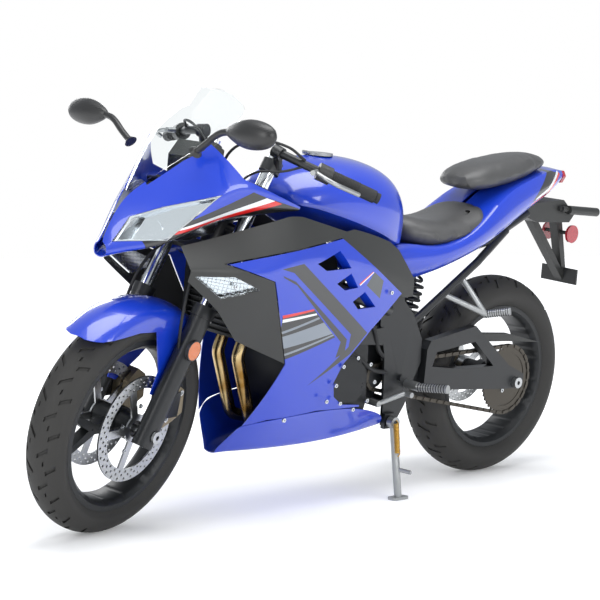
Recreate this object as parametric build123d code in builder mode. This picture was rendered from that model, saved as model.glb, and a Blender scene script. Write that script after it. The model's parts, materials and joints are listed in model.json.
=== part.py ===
from build123d import *
import os
from math import asin, cos, hypot, radians, sin, sqrt

# A mid-size fully faired sport motorcycle, parked on its side stand.
# Every piece is drawn on the upright machine: +X forward, +Y to the rider's left, +Z up,
# the ground at z = 0 below the rear axle. The end of the file turns the steering,
# leans the machine on its stand and puts the origin under the middle of its box.

os.makedirs("parts", exist_ok=True)

# Wheels and tyres, 110/70-17 in front and 140/70-17 behind
wheelbase = 1400
front_tyre_radius = 293
front_tyre_width = 112
rear_tyre_radius = 314
rear_tyre_width = 142
rim_lip_radius = 226
rim_barrel_radius = 205
rim_wall = 6
front_rim_width = 86
rear_rim_width = 110
hub_radius = 34
axle_radius = 10
axle_bore = 6
spoke_count = 5

# Steering geometry and the pose in which the machine is parked
rake = 26
trail = 93
parked_steer = 18
parked_lean = 8
fork_half_span = 98
fork_tube_radius = 18.5
slider_radius = 27
slider_top = 652
fork_tube_top = 1078
lower_clamp_height = 795
upper_clamp_height = 975
clamp_thickness = 26
head_tube_radius = 30
stem_radius = 14

# Brakes and final drive
disc_radius = 139
disc_track = 32
front_disc_offset = 62
disc_thickness = 4.5
rear_disc_radius = 110
rear_disc_offset = 84
chain_pitch = 15.875
rear_teeth = 42
front_teeth = 14
chain_line = 92
front_sprocket_x = 575
front_sprocket_z = 362

# Frame, swing arm and stand
pivot_x = 503
pivot_z = 362
plate_half_span = 112
plate_thickness = 8
spar_radius = 17
rail_radius = 12
arm_inner = 106
arm_thickness = 28
crankcase_half = 118
stand_pivot_x = 541
stand_pivot_y = 150
stand_pivot_z = 240
stand_foot_x = 545
stand_foot_y = 206
stand_tube_radius = 11

# Bodywork
panel_wall = 3.5
panel_gap = 0.4
panel_reach = 6
open_reach = 60
seat_gap = 0.4
screen_wall = 3
running_gap = 0.3

# The body stretches between these two stations when the wheelbase changes
stretch_from = 850
stretch_to = 1000
front_shift = wheelbase - 1400

steer_up = Vector(-sin(radians(rake)), 0, cos(radians(rake)))
steer_forward = Vector(cos(radians(rake)), 0, sin(radians(rake)))
steer_foot = Vector(wheelbase + trail, 0, 0)
fork_offset = front_tyre_radius * sin(radians(rake)) - trail * cos(radians(rake))
front_axle_height = front_tyre_radius * cos(radians(rake)) + trail * sin(radians(rake))
front_axle = Vector(wheelbase, 0, front_tyre_radius)
rear_axle = Vector(0, 0, rear_tyre_radius)


def station(x):
    """A station along the machine. Those ahead of the engine move with the front axle."""
    return x + front_shift * min(max((x - stretch_from) / (stretch_to - stretch_from), 0), 1)


def on_fork(height, side=0.0, forward=0.0):
    """A point at a height along the steering axis, to one side and ahead of it."""
    return steer_foot + steer_up * height + steer_forward * forward + Vector(0, side, 0)


# Shapes that several sub-parts use

def rod(start, end, radius):
    """A round bar between two points."""
    start = Vector(*start)
    end = Vector(*end)
    with BuildPart() as bar:
        with BuildSketch(Plane(start, z_dir=end - start)):
            Circle(radius)
        extrude(amount=(end - start).length)
    return bar.part


def tube(points, bend, radius):
    """A round bar along straight runs that are joined by bends."""
    with BuildPart() as bar:
        with BuildLine() as route:
            FilletPolyline(*points, radius=bend)
        with BuildSketch(Plane(route.line @ 0, z_dir=route.line % 0)):
            Circle(radius)
        sweep(path=route.line)
    return bar.part


def side_plate(outline, low_y, high_y):
    """A plate whose outline is (x, z) points, between two widths."""
    with BuildPart() as plate:
        with BuildSketch(Plane.XZ.offset(-high_y)):
            Polygon(*[(station(x), z) for x, z in outline], align=None)
        extrude(amount=high_y - low_y)
    return plate.part


def axle_plate(outline, low_y, high_y):
    """A plate between two widths whose outline is (x, z) points about the front axle."""
    with BuildPart() as plate:
        with BuildSketch(Plane.XZ.offset(-high_y)):
            Polygon(*[(x + front_axle.X, z + front_axle.Z) for x, z in outline], align=None)
        extrude(amount=high_y - low_y)
    return plate.part


def front_plate(outline, low_x, high_x):
    """A block whose outline is (y, z) points, between two stations."""
    with BuildPart() as plate:
        with BuildSketch(Plane.YZ.offset(station(low_x))):
            Polygon(*outline, align=None)
        extrude(amount=high_x - low_x)
    return plate.part


def turned(profile, centre):
    """A ring from a closed (y, radius) outline, turned about an axle."""
    with BuildPart() as ring:
        with BuildSketch(Plane.YZ):
            Polygon(*profile, align=None)
        revolve(axis=Axis.Y)
    return ring.part.moved(Location(centre))


def cross_bar(x, z, low_y, high_y, radius):
    """A round bar across the machine."""
    return rod((x, low_y, z), (x, high_y, z), radius)


def join(*pieces):
    """One part from touching pieces."""
    with BuildPart() as whole:
        add(list(pieces))
    return whole.part


def cut(body, *tools):
    """A part less the tools."""
    with BuildPart() as rest:
        add(body)
        add(list(tools), mode=Mode.SUBTRACT)
    return rest.part


def common(body, tool):
    """What two parts share."""
    with BuildPart() as shared:
        add(body)
        add(tool, mode=Mode.INTERSECT)
    return shared.part


def mirrored(piece):
    """The same piece on the other side of the machine."""
    return piece.mirror(Plane.XZ)


def both_sides(piece):
    """A left piece with its right twin, as one node."""
    return Compound(children=[piece, mirrored(piece)])


def inset(outline, amount):
    """A closed outline moved inwards by a wall, corner by corner."""
    area = 0.0
    for (y1, z1), (y2, z2) in zip(outline, outline[1:] + outline[:1]):
        area += y1 * z2 - y2 * z1
    turn = 1 if area > 0 else -1
    moved_in = []
    count = len(outline)
    for i in range(count):
        before = outline[i - 1]
        here = outline[i]
        after = outline[(i + 1) % count]
        in_y = []
        in_z = []
        for start, end in ((before, here), (here, after)):
            run = hypot(end[0] - start[0], end[1] - start[1])
            in_y.append(-turn * (end[1] - start[1]) / run)
            in_z.append(turn * (end[0] - start[0]) / run)
        mid_y = in_y[0] + in_y[1]
        mid_z = in_z[0] + in_z[1]
        reach = amount * 2 / (mid_y**2 + mid_z**2)
        moved_in.append((here[0] + mid_y * reach, here[1] + mid_z * reach))
    return moved_in


def run_on(edge, inner, reach):
    """An edge point carried on past itself, in line with its neighbour."""
    across = edge[0] - inner[0]
    up = edge[1] - inner[1]
    length = hypot(across, up)
    return (edge[0] + across * reach / length, edge[1] + up * reach / length)


def body_form(stations, wall=0.0, shift=0.0):
    """A closed form through mirrored sections. Each row is a station x, then (y, z) points
    of the left half from top to bottom. A wall moves it inwards and a shift moves it along X."""
    with BuildPart() as form:
        for x, *half in stations:
            outline = half + [(-y, z) for y, z in reversed(half)]
            with BuildSketch(Plane.YZ.offset(station(x) + shift)):
                Polygon(*inset(outline, wall), align=None)
        loft(ruled=True)
    return form.part


# Tyres

def tyre(radius, width, rim_width, centre):
    """A tyre: a round crown, sidewalls that run in to the rim, and a hollow for the air."""
    crown = width / 2
    wall = 9
    side_radius = radius - crown
    bead_radius = rim_lip_radius - 8
    bead_half = rim_width / 2 - rim_wall - running_gap
    over_lip = rim_lip_radius + 1
    with BuildPart() as casing:
        with BuildSketch(Plane.YZ):
            with BuildLine():
                ThreePointArc((crown, side_radius), (0, radius), (-crown, side_radius))
                Polyline((-crown, side_radius), (-rim_width / 2 - 1, over_lip), (-bead_half, over_lip),
                         (-bead_half, bead_radius), (wall - bead_half, bead_radius),
                         (wall - bead_half, over_lip + 5), (wall - crown, side_radius + 5))
                ThreePointArc((wall - crown, side_radius + 5), (0, radius - wall),
                              (crown - wall, side_radius + 5))
                Polyline((crown - wall, side_radius + 5), (bead_half - wall, over_lip + 5),
                         (bead_half - wall, bead_radius), (bead_half, bead_radius),
                         (bead_half, over_lip), (rim_width / 2 + 1, over_lip), (crown, side_radius))
            make_face()
        revolve(axis=Axis.Y)
    return casing.part.moved(Location(centre))


# Cast wheels with forked spokes

def wheel(rim_width, hub_half, centre):
    """A cast wheel: rim with lips, hub, and spokes that fork halfway to the rim."""
    half = rim_width / 2
    rim_profile = [(-half, rim_lip_radius), (-half, rim_lip_radius - 14),
                   (-half + 16, rim_barrel_radius - rim_wall), (half - 16, rim_barrel_radius - rim_wall),
                   (half, rim_lip_radius - 14), (half, rim_lip_radius), (half - rim_wall, rim_lip_radius),
                   (half - rim_wall, rim_lip_radius - 9), (half - 20, rim_barrel_radius),
                   (-half + 20, rim_barrel_radius), (-half + rim_wall, rim_lip_radius - 9),
                   (-half + rim_wall, rim_lip_radius)]
    fork_radius = 108
    spoke_end = rim_barrel_radius - rim_wall / 2
    spread = 15
    with BuildPart() as casting:
        with BuildSketch(Plane.YZ):
            Polygon(*rim_profile, align=None)
        revolve(axis=Axis.Y)
        with BuildSketch(Plane.XZ):
            Circle(hub_radius + 8)
            with PolarLocations(0, spoke_count):
                with BuildLine():
                    Polyline((hub_radius, -17), (fork_radius, -13), (fork_radius, 13),
                             (hub_radius, 17), close=True)
                make_face()
                for sign in (-1, 1):
                    end_y = sign * spoke_end * sin(radians(spread))
                    end_x = spoke_end * cos(radians(spread))
                    with BuildLine():
                        Polyline((fork_radius - 12, sign * 13), (fork_radius + 8, -sign * 4),
                                 (end_x, end_y - sign * 8), (end_x, end_y + sign * 8), close=True)
                    make_face()
        extrude(amount=14, both=True)
        with BuildSketch(Plane.XZ):
            Circle(hub_radius)
        extrude(amount=hub_half, both=True)
        with BuildSketch(Plane.XZ):
            Circle(axle_radius + running_gap)
        extrude(amount=hub_half, both=True, mode=Mode.SUBTRACT)
    return casting.part.moved(Location(centre))


def brake_disc(radius, track, bore, offset, centre):
    """A brake disc on its carrier: the braking ring, five arms and the bolting ring."""
    with BuildPart() as disc:
        with BuildSketch(Plane.XZ.offset(-offset)):
            Circle(radius)
            Circle(radius - track, mode=Mode.SUBTRACT)
            Circle(bore + 16)
            Circle(bore, mode=Mode.SUBTRACT)
            with PolarLocations((bore + radius - track) / 2 + 8, 5):
                Rectangle(radius - track - bore - 8, 22)
        extrude(amount=disc_thickness)
    return disc.part.moved(Location(centre))


front_tyre = tyre(front_tyre_radius, front_tyre_width, front_rim_width, front_axle)
rear_tyre = tyre(rear_tyre_radius, rear_tyre_width, rear_rim_width, rear_axle)
front_hub_half = front_disc_offset - disc_thickness
rear_hub_half = 58
front_rim = wheel(front_rim_width, front_hub_half, front_axle)
rear_rim = wheel(rear_rim_width, rear_hub_half, rear_axle)
left_front_disc = brake_disc(disc_radius, disc_track, 22, front_disc_offset, front_axle)
front_discs = both_sides(left_front_disc)

# The rear disc sits on a spacer ring on the right end of the hub
disc_spacer = turned([(-rear_hub_half, 14), (-rear_hub_half, 40), (-rear_disc_offset, 40),
                      (-rear_disc_offset, 14)], rear_axle)
rear_disc_plate = brake_disc(rear_disc_radius, 28, 14, -rear_disc_offset + disc_thickness, rear_axle)
rear_disc = join(disc_spacer, rear_disc_plate)

# Final drive: the rear sprocket on its carrier, and the chain as one fixed loop

rear_pitch_radius = chain_pitch / 2 / sin(radians(180 / rear_teeth))
front_pitch_radius = chain_pitch / 2 / sin(radians(180 / front_teeth))
chain_height = 12
chain_width = 16
sprocket_thickness = 6

with BuildPart() as sprocket_blank:
    with BuildSketch(Plane.XZ.offset(-chain_line - sprocket_thickness / 2)):
        Circle(rear_pitch_radius - chain_height / 2 - running_gap)
        Circle(14, mode=Mode.SUBTRACT)
    extrude(amount=sprocket_thickness)
sprocket_carrier = turned([(rear_hub_half, 14), (rear_hub_half, 52),
                           (chain_line - sprocket_thickness / 2, 44),
                           (chain_line - sprocket_thickness / 2, 14)], rear_axle)
rear_sprocket = join(sprocket_blank.part.moved(Location(rear_axle)), sprocket_carrier)

# The chain's two straight runs leave both sprockets along one tangent
front_sprocket = Vector(front_sprocket_x, 0, front_sprocket_z)
drive_run = front_sprocket - rear_axle
drive_angle = drive_run.get_angle(Vector(1, 0, 0))
drive_taper = asin((rear_pitch_radius - front_pitch_radius) / drive_run.length)


def chain_band(half_height):
    """The outline that the chain encloses, wider by half of its height."""
    rear_r = rear_pitch_radius + half_height
    front_r = front_pitch_radius + half_height
    length = drive_run.length
    rear_x = rear_r * sin(drive_taper)
    rear_z = rear_r * cos(drive_taper)
    front_x = length + front_r * sin(drive_taper)
    front_z = front_r * cos(drive_taper)
    with BuildSketch(Plane.XZ) as band:
        with BuildLine():
            ThreePointArc((rear_x, rear_z), (-rear_r, 0), (rear_x, -rear_z))
            Line((rear_x, -rear_z), (front_x, -front_z))
            ThreePointArc((front_x, -front_z), (length + front_r, 0), (front_x, front_z))
            Line((front_x, front_z), (rear_x, rear_z))
        make_face()
    return band.sketch


chain_outer = chain_band(chain_height / 2)
chain_inner = chain_band(-chain_height / 2)
with BuildPart() as chain_loop:
    extrude(chain_outer, amount=chain_width / 2, both=True)
    extrude(chain_inner, amount=chain_width, both=True, mode=Mode.SUBTRACT)
drive_chain = chain_loop.part.moved(
    Location(rear_axle + Vector(0, chain_line, 0), (0, -drive_angle, 0)))

# Rear axle, with a bore right through
with BuildPart() as axle_bar:
    add(rod((0, -146, rear_axle.Z), (0, 146, rear_axle.Z), axle_radius))
    add(rod((0, -150, rear_axle.Z), (0, -arm_inner - arm_thickness - running_gap, rear_axle.Z), 17))
    add(rod((0, arm_inner + arm_thickness + running_gap, rear_axle.Z), (0, 150, rear_axle.Z), 17))
    add(rod((0, -160, rear_axle.Z), (0, 160, rear_axle.Z), axle_bore), mode=Mode.SUBTRACT)
rear_axle_shaft = axle_bar.part

# Shock absorber behind the engine, between a pin on the swing arm and a frame tube
shock_pin_radius = 10
shock_tube_radius = 14
shock_low = Vector(470, 0, 386)
shock_high = Vector(515, 0, 572)
shock_way = (shock_high - shock_low).normalized()
shock_pin = shock_low - shock_way * shock_pin_radius
shock_tube = shock_high + shock_way * shock_tube_radius
shock_absorber = join(rod(shock_low, shock_high, 12),
                      rod(shock_low + shock_way * 30, shock_high - shock_way * 25, 30))

# Swing arm: two box arms with a triangulated brace, a cross box and the pivot tube
arm_outline = [(-38, rear_axle.Z - 20), (57, rear_axle.Z - 18), (367, 318), (412, 326), (412, 440),
               (399, 465), (209, 500), (38, rear_axle.Z + 56), (-38, rear_axle.Z + 24)]
arm_window = [(110, 372), (205, 452), (370, 430), (384, 388), (270, 374)]
arm_outer = arm_inner + arm_thickness
swing_arm_left = cut(side_plate(arm_outline, arm_inner, arm_outer),
                     side_plate(arm_window, arm_inner - 5, arm_outer + 5))
with BuildPart() as swing_arm_body:
    add([swing_arm_left, mirrored(swing_arm_left)])
    add(side_plate([(345, 340), (345, 384), (500, 382), (500, 342)], -arm_inner, arm_inner))
    add(cross_bar(pivot_x, pivot_z, -plate_half_span + 2, plate_half_span - 2, 20))
    add(cross_bar(shock_pin.X, shock_pin.Z, -24, 24, shock_pin_radius))
    add(cross_bar(0, rear_axle.Z, -arm_outer - 5, arm_outer + 5, axle_radius + running_gap),
        mode=Mode.SUBTRACT)
    add(cross_bar(pivot_x, pivot_z, -plate_half_span, plate_half_span, 10), mode=Mode.SUBTRACT)
swing_arm = swing_arm_body.part

# Nose cowl. Each row: station x, then (y, z) at the screen edge, the lamp's upper edge,
# the lamp's lower edge and the panel's low edge.
cowl_rows = [
    (1017, (172, 900), (203, 868), (204, 858), (200, 838)),
    (1100, (172, 950), (207, 890), (208, 880), (186, 817)),
    (1199, (165, 1005), (204, 915), (205, 904), (168, 791)),
    (1250, (135, 1020), (188, 888), (190, 880), (158, 778)),
    (1300, (96, 972), (159, 876), (167, 837), (148, 764)),
    (1376, (36, 900), (96, 848), (130, 759), (134, 742)),
    (1430, (6, 852), (40, 817), (68, 749), (72, 722)),
    (1475, (3, 748), (12, 744), (27, 738), (30, 706)),
]



def cowl_form(wall=0.0, reach=0.0):
    """The cowl form moved inwards by a wall, with its lower edges run on behind the nose."""
    sections = []
    for x, *upper, low in cowl_rows:
        sections.append((x, *upper, run_on(low, upper[-1], reach if x < 1400 else 0)))
    return body_form(sections, wall, -wall)


# Side form under the cowl: rows of station x, then (y, z) of the top edge, widest crease,
# middle, lower crease and the edge that meets the belly pan.
side_rows = [
    (540, (160, 720), (168, 640), (166, 540), (150, 330), (140, 262)),
    (700, (174, 775), (192, 690), (190, 550), (160, 345), (152, 300)),
    (850, (184, 800), (208, 730), (204, 560), (168, 360), (160, 303)),
    (1000, (196, 830), (222, 725), (212, 570), (166, 400), (140, 285)),
    (1058, (190, 822), (226, 712), (214, 590), (158, 430), (86, 262)),
    (1100, (186, 815), (228, 700), (214, 600), (158, 470), (88, 280)),
    (1160, (176, 800), (230, 692), (214, 610), (160, 505), (90, 300)),
    (1260, (157, 778), (220, 702), (208, 640), (160, 560), (90, 320)),
    (1340, (140, 752), (190, 700), (178, 660), (140, 610), (80, 340)),
]


def side_form(wall, reach=panel_reach):
    """The side form moved inwards by a wall, with its top and bottom edges run on."""
    sections = []
    for x, top, *middle, low in side_rows:
        low_end = run_on(low, middle[-1], reach)
        sections.append((x, run_on(top, middle[0], reach), *middle, low_end, (8, low_end[1] - 4)))
    return body_form(sections, wall)


# Frame: head tube, two spars, pivot plates and cross tubes
plate_outline = [(605, 600), (540, 610), (470, 545), (425, 470), (420, 400), (455, 330),
                 (470, 280), (505, 225), (556, 225), (560, 300), (572, 430), (600, 520)]
left_plate = side_plate(plate_outline, plate_half_span, plate_half_span + plate_thickness)
head_foot = lower_clamp_height + clamp_thickness / 2 + running_gap
head_top = upper_clamp_height - clamp_thickness / 2 - running_gap


def head_share(share):
    """A height on the head tube, as a share of its own length."""
    return head_foot + (head_top - head_foot) * share


spar_route = [on_fork(head_share(0.42), 12), (station(1010), 100, 735), (station(870), 124, 655),
              (570, plate_half_span + 4, 560)]
brace_route = [on_fork(head_share(0.21), 12), (station(1036), 60, 640), (station(950), 112, 560),
               (station(870), 124, 640)]
left_spar = tube(spar_route, 40, spar_radius)
left_brace = tube(brace_route, 30, rail_radius)
stand_lug = side_plate([(520, 218), (560, 218), (560, 262), (520, 262)],
                       plate_half_span + plate_thickness, stand_pivot_y - 16)
engine_lug = side_plate([(590, 462), (690, 470), (690, 504), (590, 512)],
                        crankcase_half, plate_half_span + plate_thickness + 6)
radiator_back = 1084
hanger_x = 1036
hanger_face = 1058
hanger_y = 62
hanger_z = 640
# Stays that carry the tank's nose, the instruments, the cowl and the side panels
tank_nose_x = 985
tank_tongue = side_plate([(tank_nose_x, 836), (1060, 836), (1060, 846), (tank_nose_x, 846)], -22, 22)
dash_x = station(1205)
dash_floor = 905
nose_stay = join(rod(on_fork(head_share(0.5), 0, 25), (dash_x, 0, 884), 9),
                 rod((dash_x, 0, 876), (dash_x, 0, dash_floor), 12))
cowl_hollow = cowl_form(panel_wall, open_reach)
nose_arms = common(cross_bar(dash_x, 884, -230, 230, 8), cowl_hollow)
side_hollow = side_form(panel_wall, open_reach)
stay_x = station(1000)
left_stay = common(rod((stay_x, 100, 728), (stay_x, 260, 684), 9), side_hollow)
with BuildPart() as frame_body:
    add(rod(on_fork(head_foot), on_fork(head_top), head_tube_radius))
    add([left_spar, mirrored(left_spar), left_brace, mirrored(left_brace)])
    add([left_plate, mirrored(left_plate), stand_lug, engine_lug, mirrored(engine_lug)])
    add(cross_bar(shock_tube.X, shock_tube.Z, -plate_half_span, plate_half_span, shock_tube_radius))
    add(cross_bar(528, 292, -plate_half_span, plate_half_span, 10))
    add(cross_bar(station(hanger_x), hanger_z, -60, 60, 10))
    for side in (-1, 1):
        add(side_plate([(hanger_x, hanger_z - 8), (hanger_face, hanger_z - 8), (hanger_face, hanger_z + 8),
                        (hanger_x, hanger_z + 8)], side * hanger_y - 10, side * hanger_y + 10))
    add(tank_tongue)
    add([nose_stay, nose_arms, left_stay, mirrored(left_stay)])
    add(cross_bar(pivot_x, pivot_z, -plate_half_span - 20, plate_half_span + 20, 10 - running_gap))
    add(cross_bar(stand_pivot_x, stand_pivot_z, plate_half_span, stand_pivot_y + 8, 8))
frame_steel = cut(frame_body.part, rod(on_fork(head_foot - 100), on_fork(head_top + 100),
                                       stem_radius + running_gap))

# Rear subframe: a lower strut and an upper rail on each side
strut_route = [(520, 97, 470), (413, 97, 538), (199, 102, 689), (60, 80, 780)]
rail_route = [(585, 98, 592), (510, 98, 646), (420, 100, 690), (150, 84, 745), (-53, 62, 830)]
left_strut = tube(strut_route, 60, rail_radius)
left_rail = tube(rail_route, 60, rail_radius)
seat_ridge_x = 420
seat_ridge_z = 722
with BuildPart() as subframe_body:
    for left_bar in (left_strut, left_rail):
        add([left_bar, mirrored(left_bar)])
    for x, z in ((520, 470), (585, 592)):
        for side in (-1, 1):
            low_y, high_y = sorted((side * 97, side * plate_half_span))
            add(cross_bar(x, z, low_y, high_y, 9))
    add(cross_bar(60, 780, -80, 80, rail_radius))
    add(cross_bar(-53, 830, -62, 62, rail_radius))
    add(cross_bar(seat_ridge_x, 690, -100, 100, rail_radius))
    add(side_plate([(seat_ridge_x - 8, 695), (seat_ridge_x + 8, 695), (seat_ridge_x + 8, seat_ridge_z - seat_gap),
                    (seat_ridge_x - 8, seat_ridge_z - seat_gap)], -30, 30))
subframe = subframe_body.part

# Engine: crankcase, gearbox, cylinder, head and the round side covers
crank_outline = [(628, 300), (640, 480), (720, 520), (860, 520), (900, 440), (900, 330),
                 (860, 262), (700, 240), (640, 255)]
gearbox_outline = [(536, 400), (552, 300), (640, 255), (700, 300), (700, 470), (560, 470)]
cylinder_outline = [(700, 480), (745, 640), (905, 600), (880, 440)]
head_outline = [(745, 640), (770, 720), (920, 680), (905, 600)]
fin_count = 5
fin_reach = 8
barrel_low = Vector(700, 0, 480)
barrel_high = Vector(745, 0, 640)
barrel_way = (barrel_high - barrel_low).normalized()
barrel_face = Vector(barrel_way.Z, 0, -barrel_way.X)
barrel_depth = 168


def barrel_fin(rise):
    """A cooling fin round the cylinder at a height up its back edge."""
    back = barrel_low + barrel_way * rise - barrel_face * fin_reach
    front = back + barrel_face * (barrel_depth + fin_reach)
    top = barrel_way * 5
    return side_plate([(back.X, back.Z), (front.X, front.Z), ((front + top).X, (front + top).Z),
                       ((back + top).X, (back + top).Z)], -84 - fin_reach, 84 + fin_reach)


with BuildPart() as engine_body:
    add(side_plate(crank_outline, -crankcase_half, crankcase_half))
    add(side_plate(gearbox_outline, -100, 74))
    add(side_plate(cylinder_outline, -84, 84))
    add(side_plate(head_outline, -90, 90))
    for number in range(fin_count):
        add(barrel_fin(62 + number * 20))
    add(cross_bar(front_sprocket_x, front_sprocket_z, 70, chain_line + 3, 12))
    add(cross_bar(front_sprocket_x, front_sprocket_z, chain_line - 3, chain_line + 3,
                  front_pitch_radius - chain_height / 2 - running_gap))
    add(cross_bar(740, 375, crankcase_half, 141, 80))
    add(cross_bar(740, 375, 141, 146, 66))
    add(cross_bar(850, 450, crankcase_half, 138, 45))
    add(cross_bar(770, 375, -146, -crankcase_half, 84))
    add(cross_bar(770, 375, -152, -146, 60))
    for number in range(6):
        for x, y_low, y_high, reach in ((740, crankcase_half, 145, 73), (770, -148, -crankcase_half, 77)):
            angle = radians(60 * number + 15)
            add(cross_bar(x + reach * cos(angle), 375 + reach * sin(angle), y_low, y_high, 6))
engine = engine_body.part

# Radiator: a thin core between two side tanks, with cooling fins standing forward of the core
radiator_low = 500
radiator_high = 680
radiator_half = 125
tank_half = 108
fin_pitch = 15
with BuildPart() as radiator_body:
    add(front_plate([(-tank_half, radiator_low), (tank_half, radiator_low), (tank_half, radiator_high),
                     (-tank_half, radiator_high)], radiator_back, radiator_back + 16))
    for low_y, high_y in ((tank_half, radiator_half), (-radiator_half, -tank_half)):
        add(front_plate([(low_y, radiator_low), (high_y, radiator_low), (high_y, radiator_high),
                         (low_y, radiator_high)], radiator_back, radiator_back + 30))
    for z in range(radiator_low + 8, radiator_high - 8, fin_pitch):
        add(front_plate([(-tank_half, z), (tank_half, z), (tank_half, z + 3), (-tank_half, z + 3)],
                        radiator_back, radiator_back + 26))
    for side in (-1, 1):
        add(rod((station(hanger_face), side * hanger_y, hanger_z),
                (station(radiator_back), side * hanger_y, hanger_z), 6))
radiator = radiator_body.part

header_route = [(station(890), 42, 588), (station(1010), 42, 560), (station(1046), 42, 440),
                (station(985), 42, 262), (800, 42, 222)]
left_header = tube(header_route, 38, 17)
muffler_start = Vector(244, -188, 293)
muffler_end = Vector(-90, -215, 400)
muffler_way = (muffler_end - muffler_start).normalized()
collector_route = [(800, 0, 220), (690, -4, 220), (560, -30, 252), (430, -120, 246),
                   muffler_start - muffler_way * 58, muffler_start]
with BuildPart() as header_body:
    add([left_header, mirrored(left_header)])
    add(side_plate([(812, 205), (812, 239), (770, 239), (770, 205)], -58, 58))
    add(tube(collector_route, 30, 19))
exhaust_headers = cut(header_body.part, side_plate(cylinder_outline, -84, 84),
                      side_plate(head_outline, -90, 90),
                      *[barrel_fin(62 + number * 20) for number in range(fin_count)])

# Fork, clamps and controls, drawn with the steering straight

def fork_bar(low, high, radius, side=fork_half_span):
    """A round bar on the left fork line between two heights along the steering axis."""
    return rod(on_fork(low, side, fork_offset), on_fork(high, side, fork_offset), radius)


slider_foot = front_axle_height - 34
caliper_face = front_disc_offset + 26
caliper_lug = axle_plate([(-116, 25), (-24, 29), (-28, 93), (-116, 91)], caliper_face, caliper_face + 10)
left_slider = cut(join(fork_bar(slider_foot, slider_top - 30, slider_radius),
                       fork_bar(slider_top - 30, slider_top, slider_radius + 3), caliper_lug),
                  fork_bar(slider_top - 200, slider_top + 10, fork_tube_radius + running_gap),
                  cross_bar(front_axle.X, front_axle.Z, 50, 150, axle_radius + running_gap))
fork_sliders = both_sides(left_slider)
left_fork_tube = fork_bar(slider_top - 199, fork_tube_top, fork_tube_radius)
fork_tubes = both_sides(left_fork_tube)


def clamp(height):
    """A fork clamp: a bar across both legs with the stem in its middle."""
    with BuildPart() as bridge:
        with BuildSketch(Plane(on_fork(height - clamp_thickness / 2), x_dir=(0, 1, 0), z_dir=steer_up)):
            with Locations((-fork_half_span, -fork_offset), (fork_half_span, -fork_offset)):
                Circle(fork_tube_radius + 12)
            Polygon((-fork_half_span - 5, -fork_offset - 22), (fork_half_span + 5, -fork_offset - 22),
                    (30, 26), (-30, 26), align=None)
            with Locations((-fork_half_span, -fork_offset), (fork_half_span, -fork_offset)):
                Circle(fork_tube_radius + running_gap, mode=Mode.SUBTRACT)
        extrude(amount=clamp_thickness)
    return bridge.part


fork_clamps = join(clamp(lower_clamp_height), clamp(upper_clamp_height),
                   rod(on_fork(lower_clamp_height), on_fork(upper_clamp_height + 22), stem_radius))

axle_half = 126
front_axle_shaft = cut(join(cross_bar(front_axle.X, front_axle.Z, -axle_half, axle_half, axle_radius),
                            cross_bar(front_axle.X, front_axle.Z, axle_half - 1, axle_half + 7, 17)),
                       cross_bar(front_axle.X, front_axle.Z, -axle_half - 5, axle_half + 20, axle_bore))

riser_low = on_fork(1050, fork_half_span + 20, fork_offset)
bar_start = Vector(station(1088), 122, 1008)
grip_start = Vector(station(1068), 185, 994)
bar_tip = grip_start + Vector(-130, 160, -53)
bar_way = (bar_tip - grip_start).normalized()
left_bar = tube([bar_start, grip_start, bar_tip], 40, 11)
left_riser = join(rod(riser_low, bar_start, 12), rod(bar_start - Vector(0, 14, -3), bar_start + Vector(0, 12, -3), 17))
clip_on_ring = fork_bar(1034, 1066, fork_tube_radius + 9)
clip_on_hole = fork_bar(1020, 1090, fork_tube_radius + running_gap)
left_handlebar = cut(join(clip_on_ring, left_bar, left_riser), clip_on_hole)
handlebars = both_sides(left_handlebar)
grip_length = 125
grip_end = bar_tip - bar_way * 6
grip_begin = grip_end - bar_way * grip_length
left_grip = cut(rod(grip_begin, grip_end, 17), rod(grip_begin - bar_way * 5, grip_end + bar_way * 5, 11.3))
grips = both_sides(left_grip)

switch_begin = grip_begin - bar_way * 38
switch_radius = 23
left_switch = cut(rod(switch_begin, grip_begin - bar_way * 1, switch_radius),
                  rod(switch_begin - bar_way * 5, grip_begin + bar_way * 5, 11.3))
switch_boxes = both_sides(left_switch)

lever_base = switch_begin + Vector(30, 12, 0)
lever_tip = bar_tip + Vector(60, -20, 5)
left_lever = cut(join(rod(switch_begin + Vector(4, 6, 0), lever_base + Vector(22, 6, 0), 7),
                      tube([lever_base, lever_base + Vector(12, 60, -12), lever_tip], 40, 6)),
                 rod(switch_begin - bar_way * 20, grip_begin + bar_way * 20, switch_radius))
levers = both_sides(left_lever)

# Front mudguard: a wall over the tyre and a blade down each fork leg
guard_inner = front_tyre_radius + 14
guard_outer = guard_inner + panel_wall
guard_half = fork_half_span - slider_radius - running_gap
with BuildPart() as guard_shell:
    with BuildSketch(Plane.YZ):
        Polygon((-guard_half + 3, guard_inner - 42), (-guard_half + 15, guard_inner - 12), (0, guard_inner),
                (guard_half - 15, guard_inner - 12), (guard_half - 3, guard_inner - 42),
                (guard_half, guard_inner - 42), (guard_half - 12, guard_outer - 10),
                (0, guard_outer), (-guard_half + 12, guard_outer - 10),
                (-guard_half, guard_inner - 42), align=None)
    revolve(axis=Axis.Y)
guard_sector = [(0, 0), (430, 190), (300, 420), (-160, 470), (-320, 260)]
front_mudguard_hoop = common(guard_shell.part.moved(Location(front_axle)),
                             axle_plate(guard_sector, -100, 100))
blade_outline = [(-110, 283), (-216, 259), (-185, 167), (-138, 131), (-55, 79), (-22, 91), (-70, 197)]
blade = axle_plate(blade_outline, guard_half - 3, guard_half)
front_mudguard = join(front_mudguard_hoop, blade, mirrored(blade))

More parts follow.
